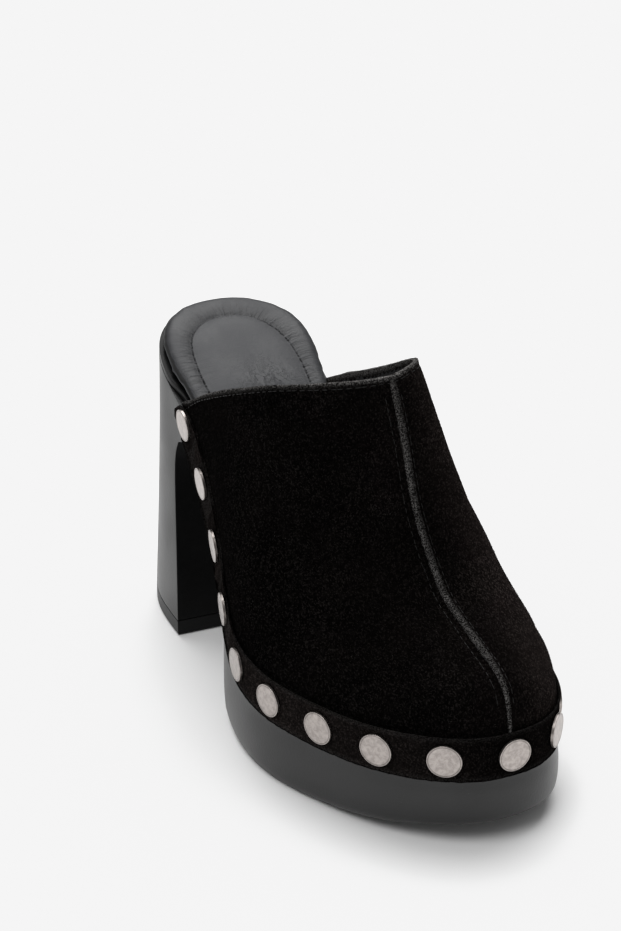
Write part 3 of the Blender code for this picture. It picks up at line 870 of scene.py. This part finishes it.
def stitch_rows(name, rows):
    """Copy one stitch along each row of seated places and join them all in one mesh."""
    size = sizes()
    one = stitch_shape()
    bm = bmesh.new()
    for places, normals in rows:
        run = np.concatenate([[0], np.cumsum([(b - a).length for a, b in zip(places, places[1:])])])
        for where in np.arange(size.stitch_pitch, run[-1] - size.stitch_pitch, size.stitch_pitch):
            number = int(np.searchsorted(run, where))
            up = normals[number]
            along = (places[min(number + 1, len(places) - 1)] - places[number - 1]).normalized()
            across = up.cross(along).normalized()
            turn = Matrix((along, across, up)).transposed().to_4x4()
            copy = one.copy()
            copy.transform(Matrix.Translation(places[number]) @ turn)
            bm.from_mesh(copy)
            bpy.data.meshes.remove(copy)
    mesh = bpy.data.meshes.new(name)
    bm.to_mesh(mesh)
    bm.free()
    bpy.data.meshes.remove(one)
    piece = new_piece(name, mesh)
    mesh.materials.append(material("waxed_thread", thread_material))
    smooth_shade(piece, 60.0)
    return piece


# ---------------------------------------------------------------- vamp


def wall_faces(bm):
    """Faces across the wall's thickness, along the collar and the foot."""
    found = []
    for face in bm.faces:
        if len(face.verts) == 4:
            off = [abs(edge.calc_length() - WALL * MM) for edge in face.edges]
            if any(max(off[i], off[i + 2]) < WALL_SLACK * MM for i in (0, 1)):
                found.append(face)
    return found


def outer_side(bm):
    """Points of the outer of the two skins, and the wall faces that part the skins."""
    walls = set(wall_faces(bm))
    start = max((face for face in bm.faces if face not in walls),
                key=lambda face: -face.calc_center_median().x)
    seen = {start}
    queue = [start]
    while queue:
        face = queue.pop()
        for edge in face.edges:
            for other in edge.link_faces:
                if other not in seen and other not in walls:
                    seen.add(other)
                    queue.append(other)
    outer = {vert for face in seen for vert in face.verts}
    across = [face for face in bm.faces
              if 0 < sum(vert in outer for vert in face.verts) < len(face.verts)]
    return outer, across


def collar_chain(walls, outer):
    """The collar's outer edge as places in order, from the lateral end to the medial end."""
    edges = []
    for face in walls:
        if face.normal.z > -0.6:
            edges += [edge for edge in face.edges if all(vert in outer for vert in edge.verts)]
    links = {}
    for edge in edges:
        for vert in edge.verts:
            links.setdefault(vert, []).append(edge)
    ends = [vert for vert, near in links.items() if len(near) == 1]
    vert = min(ends, key=lambda v: v.co.x)
    chain = [vert]
    used = set()
    while True:
        ahead = [edge for edge in links[vert] if edge not in used]
        if not ahead:
            return [Vector(item.co) for item in chain]
        used.add(ahead[0])
        vert = ahead[0].other_vert(vert)
        chain.append(vert)


def fold_rise(points, start, end, half_width):
    """Share of a soft fold that each point gets, by its distance from the fold's line."""
    start = np.array(at(*start))
    run = np.array(at(*end)) - start
    along = clamped(((points - start) @ run) / (run @ run))
    distance = np.linalg.norm(points - start - along[:, None] * run, axis=1)
    taper = np.sin(np.pi * np.clip(along, 0.04, 0.96)) ** 0.5
    return np.exp(-(distance / (half_width * MM)) ** 2) * taper


SHARED = {}


def nap_lie_and_painted_light(points, normals):
    """How light the suede is painted: painted light keeps faces turned laterally dark and the rest
    lighter, and the nap's lie with painted light makes the panel medial of the seam lightest, more
    so away from the seam and on faces turned medially.
    """
    seam = SHARED["seam"]
    nearest = distance_to(points, seam)[1]
    beside = points[:, 0] - np.array([seam[i][0] for i in nearest])
    front = 0.13 * clamped(1.0 + 1.15 * normals[:, 0])
    turned = 0.25 + 0.75 * clamped(normals[:, 0] * 1.15)
    return np.maximum(front, turned * clamped(0.2 + beside / MM / 20.0) * (beside > 0.0))


def build_vamp():
    """The suede upper with its lining, cut edge and soft folds."""
    size = sizes()
    piece = working_copy("upper", "vamp")
    bm = bmesh.new()
    bm.from_mesh(piece.data)
    outside = bm.verts.layers.float.new("outside")
    crease = bm.edges.layers.float.new("crease_edge")
    outer, walls = outer_side(bm)
    for vert in bm.verts:
        vert[outside] = 1.0 if vert in outer else 0.0
    for face in walls:
        for edge in face.edges:
            if any(other not in walls for other in edge.link_faces):
                edge[crease] = 0.7
    chain = collar_chain(walls, outer)
    bm.to_mesh(piece.data)
    bm.free()
    subdivide_smooth(piece, 2)
    collar = dense_line(chain, 1.0 * MM)
    seam = dense_line([at(*row) for row in SEAM_LINE], 1.0 * MM)
    points = points_of(piece)
    normals = normals_of(piece)
    outward = attribute_of(piece, "outside")
    from_seam = distance_to(points, seam)[0] / MM
    from_collar = distance_to(points, collar)[0] / MM
    rise = np.zeros(len(points))
    for start, end, half_width, height in VAMP_FOLDS:
        rise += height * fold_rise(points, start, end, half_width)
    rise += waves_of(points, VAMP_WAVES)
    from_ditch = from_seam - size.seam_margin / MM
    from_stitches = from_collar - size.collar_margin / MM
    rise -= outward * SEAM_DITCH * bell(from_ditch, SEAM_DITCH_WIDTH)
    rise += outward * SEAM_SWELL * bell(from_seam, SEAM_SWELL_WIDTH)
    rise -= outward * STITCH_DITCH * bell(from_stitches, STITCH_DITCH_WIDTH)
    lip = bell(from_collar, LIP_WIDTH)
    rise += LIP_WAVE * lip * rounded_noise(points, 55.0, 3)
    inner = 1.0 - 2.0 * (outward < 0.5)
    points += normals * (rise * inner * MM)[:, None]
    corner = clamped((CORNER - stations_of(points)) / CORNER_LENGTH) * (points[:, 0] < OFFSET_ZERO)
    corner *= bell(from_collar, CORNER_WIDTH)
    points[:, 2] += (CORNER_LIFT * corner + 0.2 * lip * rounded_noise(points, 70.0, 4)) * MM
    set_points(piece, points)
    # Pale cut edge across the wall, with its corner on the outside and the binding inside
    cut = clamped(2.5 - np.abs(outward - 0.5) * 5.0) * (from_collar < 4.0)
    bound = bell(from_collar - 2.1, 0.5) * (outward < 0.2)
    raw = np.maximum(np.maximum(bell(from_collar, 0.8) * (outward > 0.35), cut), bound)
    set_attribute(piece, "raw", raw)
    SHARED["seam"] = seam
    # Painted light with the nap's lie, stored for the suede's colour
    set_attribute(piece, "brushed", nap_lie_and_painted_light(points, normals))
    inmost = over_faces(piece, outward, min)
    inside = (over_faces(piece, outward, max) < 0.6) & (inmost < 0.2)
    inside &= over_faces(piece, from_collar, min) > BINDING
    two_finishes(piece, suede(), leather("lining_leather"), inside)
    smooth_shade(piece, 60.0)
    settle(piece, "upper")
    build_nap_fibres("vamp_nap", piece, inmost > 0.3)
    build_nap_fibres("collar_nap", piece, over_faces(piece, raw, max) > 0.5)
    skin = [list(face.vertices) for face, low in zip(piece.data.polygons, inmost) if low > 0.8]
    SHARED["skin"] = BVHTree.FromPolygons([Vector(point) for point in points], skin)
    SHARED["collar"] = collar
    return piece


def build_seam():
    """The raised seam down the middle of the vamp."""
    size = sizes()
    places, normals = seat_line(SHARED["seam"][1:], SHARED["skin"])
    curve = bpy.data.curves.new("middle_seam", "CURVE")
    curve.dimensions = "3D"
    curve.bevel_depth = size.seam_radius
    curve.bevel_resolution = 4
    curve.use_fill_caps = True
    spline = curve.splines.new("POLY")
    spline.points.add(len(places) - 1)
    for number, (point, place, normal) in enumerate(zip(spline.points, places, normals)):
        point.co = (*(place + normal * size.seam_lift), 1.0)
        left = len(places) - 1 - number
        point.radius = min(1.0, SEAM_TOE_RADIUS + SEAM_TOE_STEP * left,
                           SEAM_COLLAR_RADIUS + SEAM_COLLAR_STEP * number)
    piece = new_piece("middle_seam", curve)
    select_only(piece)
    bpy.ops.object.convert(target="MESH")
    piece = bpy.context.active_object
    points = points_of(piece)
    normals = normals_of(piece)
    points += normals * (waves_of(points, SEAM_RUFFLE) * MM)[:, None]
    set_points(piece, points)
    # Paler raw fuzz along the seam, and painted light: paler still on faces turned to the lateral
    # side
    lateral = clamped(0.5 - normals[:, 0] * 0.8)
    set_attribute(piece, "raw", 0.17 + 0.32 * lateral + 0.22 * rounded_noise(points, 260.0, 7))
    piece.data.materials.append(suede())
    smooth_shade(piece, 70.0)
    settle(piece)
    build_nap_fibres("seam_nap", piece)
    return piece


def build_stitches():
    """Stitch rows beside the middle seam and below the collar's edge."""
    size = sizes()
    skin = SHARED["skin"]
    seam, seam_normals = seat_line(SHARED["seam"][5:-6], skin)
    rows = [shifted_line(seam, seam_normals, side * size.seam_margin - SEAM_ROW_SHIFT * MM, skin)
            for side in (-1, 1)]
    below = [Vector(place) - Vector((0, 0, size.collar_margin)) for place in SHARED["collar"][4:-4]]
    rows.append(seat_line(below, skin))
    piece = stitch_rows("vamp_stitches", rows)
    settle(piece)
    return piece


def surface_samples(piece, count, seed, wanted):
    """Evenly scattered places on a mesh's wanted faces, with their normals."""
    mesh = piece.data
    mesh.calc_loop_triangles()
    points = points_of(piece)
    corners = np.array([tri.vertices for tri in mesh.loop_triangles if wanted[tri.polygon_index]])
    a, b, c = (points[corners[:, k]] for k in range(3))
    cross = np.cross(b - a, c - a)
    area = np.linalg.norm(cross, axis=1)
    chance = np.random.default_rng(seed)
    chosen = chance.choice(len(area), count, p=area / area.sum())
    u, v = chance.random((2, count))
    flip = u + v > 1
    u = np.where(flip, 1 - u, u)[:, None]
    v = np.where(flip, 1 - v, v)[:, None]
    places = a[chosen] + (b - a)[chosen] * u + (c - a)[chosen] * v
    return places, cross[chosen] / area[chosen][:, None]


def build_nap_fibres(name, source, wanted=None):
    """Short loose fibres of the nap, each one a sliver that leans with the brushing."""
    count, length, seed, raw = FIBRES[name]
    wanted = np.ones(len(source.data.polygons), bool) if wanted is None else wanted
    places, normals = surface_samples(source, count, seed, wanted)
    chance = np.random.default_rng(seed + 1)
    lay = normals * 0.55 + chance.normal(0.0, 0.5, (count, 3)) + np.array([0.1, -0.1, -0.25])
    lay /= np.linalg.norm(lay, axis=1)[:, None]
    side = np.cross(lay, chance.normal(0.0, 1.0, (count, 3)))
    side /= np.linalg.norm(side, axis=1)[:, None]
    reach = (length * chance.uniform(0.5, 1.3, count))[:, None] * MM
    half = side * FIBRE_HALF_WIDTH * MM
    foot = places - normals * 0.05 * MM
    points = np.stack([foot - half, foot + half, foot + lay * reach], axis=1).reshape(-1, 3)
    mesh = bpy.data.meshes.new(name)
    mesh.from_pydata(points.tolist(), [], np.arange(count * 3).reshape(-1, 3).tolist())
    piece = new_piece(name, mesh)
    # Painted light: the fibres take the lie-and-light value of the suede they stand on, and the
    # darker sets are paled by it
    nap_and_painted_light = nap_lie_and_painted_light(places, normals)
    light = 1.0 if raw > 0.3 else 0.1 + 0.9 * nap_and_painted_light
    set_attribute(piece, "raw", np.repeat(clamped(chance.normal(raw, 0.12, count)) * light, 3))
    set_attribute(piece, "brushed", np.repeat(nap_and_painted_light, 3))
    mesh.materials.append(suede())
    settle(piece)
    return piece


# ---------------------------------------------------------------- rand and studs


def spine_of(points):
    """Places on the shoe's middle line that each point of the rand faces away from."""
    spine = points.copy()
    spine[:, 0] = OFFSET_ZERO
    spine[:, 1] = np.clip(spine[:, 1], at(RAND_FRONT, 0, 0).y, at(RAND_BACK, 0, 0).y)
    return spine


def lean_of(points):
    """How far in mm the rand's face lies in from the strip's full thickness, at top and bottom."""
    wing = clamped((WING_END - stations_of(points)) / WING_LENGTH) * (points[:, 0] < OFFSET_ZERO)
    return RAND_SINK - WING_TOP * wing, RAND_SINK + WING_BOTTOM * wing


def build_rand():
    """The suede strip round the joint of upper and platform, with soft edges."""
    piece = working_copy("rand", "rand_strip")
    bm = bmesh.new()
    bm.from_mesh(piece.data)
    upward = bm.verts.layers.float.new("upward")
    for vert in bm.verts:
        vert[upward] = 0.5
    for edge in bm.edges:
        low, high = sorted(edge.verts, key=lambda vert: vert.co.z)
        length = edge.calc_length()
        if length > 3.0 * MM and high.co.z - low.co.z > 0.5 * length:
            high[upward] = 1.0
            low[upward] = 0.0
    crease_sharp_edges(bm, 50.0, 0.88)
    bm.to_mesh(piece.data)
    bm.free()
    subdivide_smooth(piece, 3)
    points = points_of(piece)
    normals = normals_of(piece)
    height = attribute_of(piece, "upward")
    points += normals * (waves_of(points, RAND_WAVES) * MM)[:, None]
    station = stations_of(points)
    tip = clamped((TIP - station) / TIP_LENGTH) * clamped((height - 0.3) / 0.5)
    points[:, 2] -= TIP_DROP * MM * tip * clamped((station - TIP_END) / TIP_END_LENGTH)
    hem = clamped((HEM - height) / HEM)
    points[:, 2] += hem * HEM_WAVE * MM * rounded_noise(points, 500.0, 10)
    away = points - spine_of(points)
    away[:, 2] = 0.0
    away /= np.linalg.norm(away, axis=1)[:, None]
    facing = clamped((normals * away).sum(axis=1) * 2.0)
    top, bottom = lean_of(points)
    share = clamped(height)
    points -= away * (facing * (top * share + bottom * (1.0 - share)) * MM)[:, None]
    set_points(piece, points)
    # Painted light: faces turned to the sides, the lateral side most, are lighter and paler; the
    # top and bottom edges are paler as fuzzy cut suede, more so on the sides
    painted_side_light = clamped((np.abs(normals[:, 0]) - 0.3) * 1.2) * np.where(normals[:, 0] > 0, 0.45, 1.0)
    set_attribute(piece, "brushed", 0.08 + 0.5 * painted_side_light)
    edge = clamped((np.abs(height - 0.5) - 0.47) / 0.03)
    set_attribute(piece, "raw", 0.02 * painted_side_light + edge * (0.05 + 0.05 * painted_side_light))
    piece.data.materials.append(suede())
    smooth_shade(piece, 60.0)
    settle(piece, "rand")
    build_nap_fibres("rand_nap", piece)
    return piece


def stud_shape():
    """One stud on the XY plane: a disc with a bevelled rim and a low dome."""
    low, high = stud_extent(NODES["stud_toe"])[2:]
    deselect_all()
    bpy.ops.mesh.primitive_cylinder_add(
        vertices=sizes().stud_segments, radius=STUD_RADIUS * MM, depth=STUD_DEPTH * MM,
        end_fill_type="NGON", location=(0, 0, STUD_DEPTH / 2 * MM))
    disc = bpy.context.active_object
    bpy.ops.object.transform_apply(location=True, rotation=False, scale=False)
    bpy.ops.object.mode_set(mode="EDIT")
    bpy.ops.mesh.select_all(action="DESELECT")
    bpy.ops.object.mode_set(mode="OBJECT")
    for face in disc.data.polygons:
        face.select = face.normal.z > 0.9
    bpy.ops.object.mode_set(mode="EDIT")
    bpy.ops.mesh.select_mode(type="FACE")
    for width, lift in STUD_RINGS:
        bpy.ops.mesh.inset(thickness=width * MM, depth=lift * MM)
    bpy.ops.mesh.poke()
    bpy.ops.object.mode_set(mode="OBJECT")
    from_middle = np.linalg.norm(points_of(disc)[:, :2], axis=1) / MM
    # Where the material paints a dark ring of shade in the groove near the rim
    set_attribute(disc, "rim", bell(from_middle - STUD_GROOVE, STUD_GROOVE_WIDTH))
    mesh = disc.data.copy()
    bpy.data.objects.remove(disc, do_unlink=True)
    top = max(vert.co.z for vert in mesh.vertices)
    mesh.transform(Matrix.Diagonal((1.0, 1.0, STUD_HEIGHT * (high - low) / top, 1.0)))
    return mesh


def stud_extent(node):
    """Middle and outward normal of a stud's node, with its lowest and highest place along it."""
    points = points_of(node)
    middle = (points.max(axis=0) + points.min(axis=0)) / 2
    spread = np.linalg.svd(points - points.mean(axis=0), full_matrices=False)[2]
    normal = spread[2]
    if normal @ (middle - spine_of(np.array([middle]))[0]) < 0:
        normal = -normal
    reach = (points - middle) @ normal
    return Vector(middle), Vector(normal), float(reach.min()), float(reach.max())


def build_studs():
    """The discs along the rand, each turned a little differently."""
    one = stud_shape()
    surface = material("satin_nickel", stud_material)
    for number, name in enumerate(STUD_NODES):
        middle, normal, low, _ = stud_extent(NODES[name])
        mesh = one.copy()
        mesh.name = f"{name}_disc"
        top, bottom = (float(value[0]) for value in lean_of(np.array([middle])))
        normal = (normal - Vector((0, 0, (bottom - top) / RAND_HEIGHT))).normalized()
        spin = Matrix.Rotation(number * STUD_TURN, 4, "Z")
        turn = normal.to_track_quat("Z", "Y").to_matrix().to_4x4() @ spin
        mesh.transform(Matrix.Translation(middle + normal * (low - (top + bottom) / 2 * MM)) @ turn)
        piece = new_piece(f"{name}_disc", mesh)
        mesh.materials.append(surface)
        smooth_shade(piece, 30.0)
        settle(piece, name, slot="nickel")
    bpy.data.meshes.remove(one)


# ---------------------------------------------------------------- platform, heel and footbed


def rounded_node(node, name, angle, hold, levels, bevel=0.0):
    """A node's own shape with its smooth faces rounded and its edges held."""
    piece = working_copy(node, name)
    if bevel:
        edges = piece.modifiers.new("edges", "BEVEL")
        edges.width = bevel * MM
        edges.segments = 2
        edges.limit_method = "ANGLE"
        edges.angle_limit = math.radians(angle)
        apply_modifiers(piece)
    bm = bmesh.new()
    bm.from_mesh(piece.data)
    crease_sharp_edges(bm, angle, hold)
    bm.to_mesh(piece.data)
    bm.free()
    subdivide_smooth(piece, levels)
    return piece


def build_platform():
    """Leather-wrapped platform and shank over a thin tread."""
    piece = rounded_node("platform_sole", "platform", 40.0, 0.8, 2)
    under = [face.normal.z < UNDER and face.center.z < TREAD_HEIGHT * MM
             for face in piece.data.polygons]
    two_finishes(piece, leather("wrap_leather"), rubber("tread_rubber"), under)
    smooth_shade(piece, 35.0)
    settle(piece, "platform_sole", slot="leather_wrap")
    return piece


def build_heel():
    """Leather-wrapped block heel and its lift, both with painted shade on the breast: a darker,
    duller copy of their finish on the faces that look to the front.
    """
    for node, name, levels, bevel, finish, main, painted_shade_name, slot in (
        ("heel_block", "heel", 2, 0.5, leather, "heel_leather", "breast_leather", "leather_wrap"),
        ("heel_lift", "lift", 1, 0.25, rubber, "tread_rubber", "breast_rubber", "rubber"),
    ):
        piece = rounded_node(node, name, 30.0, 0.9, levels, bevel)
        # Painted shade: faces that look to the front take the darker, duller copy
        breast = [face.normal.y < BREAST for face in piece.data.polygons]
        two_finishes(piece, finish(main), finish(painted_shade_name), breast)
        smooth_shade(piece, 35.0)
        settle(piece, node, slot=slot)


def build_board():
    """Wrapped board between the footbed and the heel, in a darker, duller copy of the wrap leather
    as painted shade.
    """
    piece = rounded_node("insole_board", "board", 40.0, 0.85, 2, bevel=0.35)
    piece.data.materials.append(leather("board_leather"))
    smooth_shade(piece, 50.0)
    settle(piece, "insole_board", slot="leather_wrap")
    return piece


def inflate(piece, held, cap):
    """Blow a closed pad up a little as cloth, with the held points still, and keep the result."""
    before = points_of(piece)
    group = piece.vertex_groups.new(name="held")
    group.add([int(i) for i in np.flatnonzero(held)], 1.0, "REPLACE")
    select_only(piece)
    cloth = piece.modifiers.new("cloth", "CLOTH")
    settings = cloth.settings
    settings.use_pressure = True
    settings.uniform_pressure_force = 4.0
    settings.vertex_group_mass = "held"
    settings.effector_weights.gravity = 0.0
    settings.tension_stiffness = 12.0
    settings.bending_stiffness = 0.8
    cloth.point_cache.frame_start = 1
    cloth.point_cache.frame_end = CLOTH_FRAMES
    for number in range(1, CLOTH_FRAMES + 1):
        bpy.context.scene.frame_set(number)
    settled = piece.evaluated_get(bpy.context.evaluated_depsgraph_get())
    after = np.array([vert.co for vert in settled.data.vertices])
    piece.modifiers.remove(cloth)
    bpy.context.scene.frame_set(1)
    move = after - before
    reach = np.linalg.norm(move, axis=1)
    move *= np.minimum(1.0, cap * MM / np.maximum(reach, 1e-9))[:, None]
    set_points(piece, before + move)
    piece.vertex_groups.clear()


def rim_of(piece):
    """Places along a pad's upright sides."""
    return points_of(piece)[np.abs(normals_of(piece)[:, 2]) < UPRIGHT]


def nearest_in_plan(points, line):
    """Distance in mm of each point from a line's places in plan, and the nearest's number."""
    flat = line.copy()
    flat[:, 2] = 0.0
    level = points.copy()
    level[:, 2] = 0.0
    distance, number = distance_to(level, flat)
    return distance / MM, number


def channel_line():
    """The channel's middle in plan at an even step, from its lateral round to its medial end."""
    lateral = [at(station, offset, 0.0) for station, offset, _ in reversed(CHANNEL)]
    medial = [at(station, offset, 0.0) for station, _, offset in CHANNEL[1:]]
    return dense_line(lateral + medial, CHANNEL_STEP * MM)


def within_channel(points):
    """Whether each point lies on the footbed's middle panel."""
    table = np.array(CHANNEL)
    station = stations_of(points)
    offset = (points[:, 0] - OFFSET_ZERO) / MM
    return ((station > table[0, 0]) & (offset > np.interp(station, table[:, 0], table[:, 1]))
            & (offset < np.interp(station, table[:, 0], table[:, 2])))


def widen_sides(points):
    """Bring the pad's sides out to the lining, and leave its middle where it is."""
    table = np.array(FOOTBED_SIDES)
    station = stations_of(points)
    offset = (points[:, 0] - OFFSET_ZERO) / MM
    share = clamped((np.abs(offset) - 14.0) / 10.0)
    lateral = np.interp(station, table[:, 0], table[:, 1])
    medial = np.interp(station, table[:, 0], table[:, 2])
    points[:, 0] += share * np.where(offset < 0, -lateral, medial) * MM


def build_footbed():
    """Padded footbed: soft border gathered along a sewn channel, flat middle, layered side."""
    piece = working_copy("insole_pad", "footbed")
    piece.data.remesh_voxel_size = FOOTBED_VOXEL * MM
    select_only(piece)
    bpy.ops.object.voxel_remesh()
    bpy.ops.object.mode_set(mode="EDIT")
    bpy.ops.mesh.select_all(action="SELECT")
    bpy.ops.mesh.vertices_smooth(factor=0.5, repeat=4)
    bpy.ops.object.mode_set(mode="OBJECT")
    channel = channel_line()
    points = points_of(piece)
    normals = normals_of(piece)
    from_channel, _ = nearest_in_plan(points, channel)
    held = (normals[:, 2] < 0.1) | (from_channel < 1.0) | (stations_of(points) > HELD_FRONT)
    inflate(piece, held, FOOTBED_SWELL)
    subdivide_smooth(piece, 1)

    points = points_of(piece)
    normals = normals_of(piece)
    foot = points[normals[:, 2] < -0.7]
    under = foot[nearest_in_plan(points, foot)[1], 2]
    layer = (points[:, 2] - under) / MM
    inset, _ = nearest_in_plan(points, rim_of(piece))
    from_channel, number = nearest_in_plan(points, channel)
    inner = within_channel(points)
    station = stations_of(points)
    top = clamped((normals[:, 2] - 0.1) / 0.5) * clamped((FOOTBED_FRONT - station) / FOOTBED_FADE)
    share = from_channel / np.maximum(from_channel + inset, 0.01)
    border = np.sin(np.pi * clamped(share)) ** 0.8 * ~inner
    middle = clamped(from_channel / 9.0) * inner
    rise = BORDER_RISE * border + MIDDLE_RISE * np.sin(middle * np.pi / 2)
    rise -= EDGE_FALL * bell(inset, EDGE_WIDTH)
    groove = sum(share * bell(from_channel, width) for share, width in GROOVE)
    rise -= sizes().channel_depth / MM * groove
    run = number * CHANNEL_STEP
    spread = [Vector((place * 0.42, reach * 0.10, 0.0)) for place, reach in zip(run, from_channel)]
    pucker = np.array([noise.noise(place) for place in spread])
    fine = np.array([noise.noise(place * 2.1 + Vector((9, 4, 2))) for place in spread])
    gather = np.exp(-from_channel / 3.0) * np.where(inner, 0.25, 1.0)
    rise += gather * (PUCKER * pucker + FINE_PUCKER * fine)
    rise += 0.10 * rounded_noise(points, 90.0, 12)
    points[:, 2] += top * rise * MM
    widen_sides(points)
    set_points(piece, points)

    offset = (points[:, 0] - OFFSET_ZERO) / MM
    # Creases of the arch: dented, and darkened as painted shade
    arch = bell(station - ARCH_STATION, ARCH_LENGTH) * bell(offset - ARCH_OFFSET, ARCH_WIDTH)
    set_attribute(piece, "crease", clamped(0.9 * arch + 0.04) * inner)
    set_attribute(piece, "run", run)
    set_attribute(piece, "reach", from_channel)
    # Gathers beside the channel: their bump and the painted shade in their dips
    set_attribute(piece, "gather", np.exp(-from_channel / 4.5) * np.where(inner, 0.2, 1.0) * top)
    sides = clamped(np.abs(offset) / 9.0 - 0.8)
    set_attribute(piece, "across", from_channel * np.where(inner, -1.0, 1.0))
    # Strength of the dark sewn line and its painted shade, fuller towards the sides
    set_attribute(piece, "sewn", top * (0.35 + 0.65 * sides))
    set_attribute(piece, "layer", layer)
    # Painted shade: the pad's lower side and its lateral edge from a little ahead of the back, and
    # faintly the border outside the channel
    low = np.maximum(clamped((3.9 - layer) / 0.5), clamped(1.6 - inset) * (offset < -8.0))
    set_attribute(piece, "side", np.maximum(low * clamped((station - 8.0) / 10.0), 0.16 * ~inner))
    piece.data.materials.append(material("footbed_leather", footbed_material))
    smooth_shade(piece, 80.0)
    settle(piece, "insole_pad", slot="leather_lining")
    return piece


# ---------------------------------------------------------------- stage


def build_stage():
    """Pale floor, soft light and the camera."""
    deselect_all()
    bpy.ops.mesh.primitive_plane_add(size=8.0, location=(0, 0, 0))
    floor = bpy.context.active_object
    floor.name = "floor"
    surface, nodes, shader, place = start_material("pale_floor")
    paper = nodes.noise(place, 30.0, 2.0, 0.5)
    shade = nodes.mix(paper, times(colours().floor, 0.99), times(colours().floor, 1.01))
    nodes.put(shader.inputs["Base Color"], shade)
    shader.inputs["Roughness"].default_value = 0.9
    shader.inputs["Specular IOR Level"].default_value = 0.1
    floor.data.materials.append(surface)

    world = bpy.data.worlds.new("studio")
    world.use_nodes = True
    sky = world.node_tree.nodes["Background"]
    sky.inputs["Color"].default_value = (1.0, 1.0, 1.0, 1.0)
    sky.inputs["Strength"].default_value = SKY
    bpy.context.scene.world = world

    for name, (toward, spread, strength) in LAMPS.items():
        lamp = bpy.data.lights.new(name, "SUN")
        lamp.angle = math.radians(spread)
        lamp.energy = strength
        light = new_piece(name, lamp)
        light.rotation_euler = Vector(toward).to_track_quat("-Z", "Y").to_euler()

    lens = bpy.data.cameras.new("camera")
    lens.lens = CAMERA_LENS
    lens.sensor_width = CAMERA_SENSOR
    lens.clip_start = 0.01
    lens.clip_end = 30.0
    camera = new_piece("camera", lens)
    camera.location = at(*CAMERA_PLACE)
    camera.rotation_euler = (math.radians(CAMERA_TILT), 0.0, math.radians(CAMERA_TURN))
    bpy.context.scene.camera = camera

    view = bpy.context.scene.view_settings
    view.view_transform = "Standard"
    view.use_curve_mapping = True
    curve = view.curve_mapping.curves[3]
    curve.points[1].location = WHITE_POINT
    for before, after in TONE_CURVE:
        curve.points.new(before, after)
    view.curve_mapping.update()


# ---------------------------------------------------------------- operators


class CLOG_OT_vamp(bpy.types.Operator):
    """Model the suede upper"""

    bl_idname = "clog.vamp"
    bl_label = "Vamp"

    def execute(self, context):
        build_vamp()
        return {"FINISHED"}


class CLOG_OT_seam(bpy.types.Operator):
    """Model the raised middle seam"""

    bl_idname = "clog.seam"
    bl_label = "Middle Seam"

    def execute(self, context):
        build_seam()
        return {"FINISHED"}


class CLOG_OT_stitches(bpy.types.Operator):
    """Sew the rows beside the seam and below the collar"""

    bl_idname = "clog.stitches"
    bl_label = "Stitches"

    def execute(self, context):
        build_stitches()
        return {"FINISHED"}


class CLOG_OT_rand(bpy.types.Operator):
    """Model the suede strip"""

    bl_idname = "clog.rand"
    bl_label = "Rand"

    def execute(self, context):
        build_rand()
        return {"FINISHED"}


class CLOG_OT_studs(bpy.types.Operator):
    """Model the studs along the rand"""

    bl_idname = "clog.studs"
    bl_label = "Studs"

    def execute(self, context):
        build_studs()
        return {"FINISHED"}


class CLOG_OT_platform(bpy.types.Operator):
    """Model the wrapped platform and its tread"""

    bl_idname = "clog.platform"
    bl_label = "Platform"

    def execute(self, context):
        build_platform()
        return {"FINISHED"}


class CLOG_OT_heel(bpy.types.Operator):
    """Model the wrapped heel and its lift"""

    bl_idname = "clog.heel"
    bl_label = "Heel"

    def execute(self, context):
        build_heel()
        return {"FINISHED"}


class CLOG_OT_board(bpy.types.Operator):
    """Model the wrapped insole board"""

    bl_idname = "clog.board"
    bl_label = "Insole Board"

    def execute(self, context):
        build_board()
        return {"FINISHED"}


class CLOG_OT_footbed(bpy.types.Operator):
    """Model the padded footbed"""

    bl_idname = "clog.footbed"
    bl_label = "Footbed"

    def execute(self, context):
        build_footbed()
        return {"FINISHED"}


class CLOG_OT_stage(bpy.types.Operator):
    """Set the floor, the lights and the camera"""

    bl_idname = "clog.stage"
    bl_label = "Stage"

    def execute(self, context):
        build_stage()
        return {"FINISHED"}


OPERATORS = (
    CLOG_OT_stage,
    CLOG_OT_vamp,
    CLOG_OT_seam,
    CLOG_OT_stitches,
    CLOG_OT_rand,
    CLOG_OT_studs,
    CLOG_OT_platform,
    CLOG_OT_heel,
    CLOG_OT_board,
    CLOG_OT_footbed,
)


class CLOG_PT_panel(bpy.types.Panel):
    """Lists the clog's pieces with their sizes and colours"""

    bl_idname = "CLOG_PT_panel"
    bl_label = "Clog"
    bl_space_type = "VIEW_3D"
    bl_region_type = "UI"
    bl_category = "Clog"

    def draw(self, context):
        for operator in OPERATORS:
            self.layout.operator(operator.bl_idname)
        for group in (context.scene.clog_sizes, context.scene.clog_colours):
            for name in group.__annotations__:
                self.layout.prop(group, name)


CLASSES = (ClogSizes, ClogColours, *OPERATORS, CLOG_PT_panel)


def register():
    for item in CLASSES:
        bpy.utils.register_class(item)
    bpy.types.Scene.clog_sizes = PointerProperty(type=ClogSizes)
    bpy.types.Scene.clog_colours = PointerProperty(type=ClogColours)


def unregister():
    del bpy.types.Scene.clog_colours
    del bpy.types.Scene.clog_sizes
    for item in reversed(CLASSES):
        bpy.utils.unregister_class(item)


def main():
    register()
    bpy.ops.clog.stage()
    bpy.ops.clog.vamp()
    bpy.ops.clog.seam()
    bpy.ops.clog.stitches()
    bpy.ops.clog.rand()
    bpy.ops.clog.studs()
    bpy.ops.clog.platform()
    bpy.ops.clog.heel()
    bpy.ops.clog.board()
    bpy.ops.clog.footbed()
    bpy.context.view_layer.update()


if __name__ == "__main__":
    main()
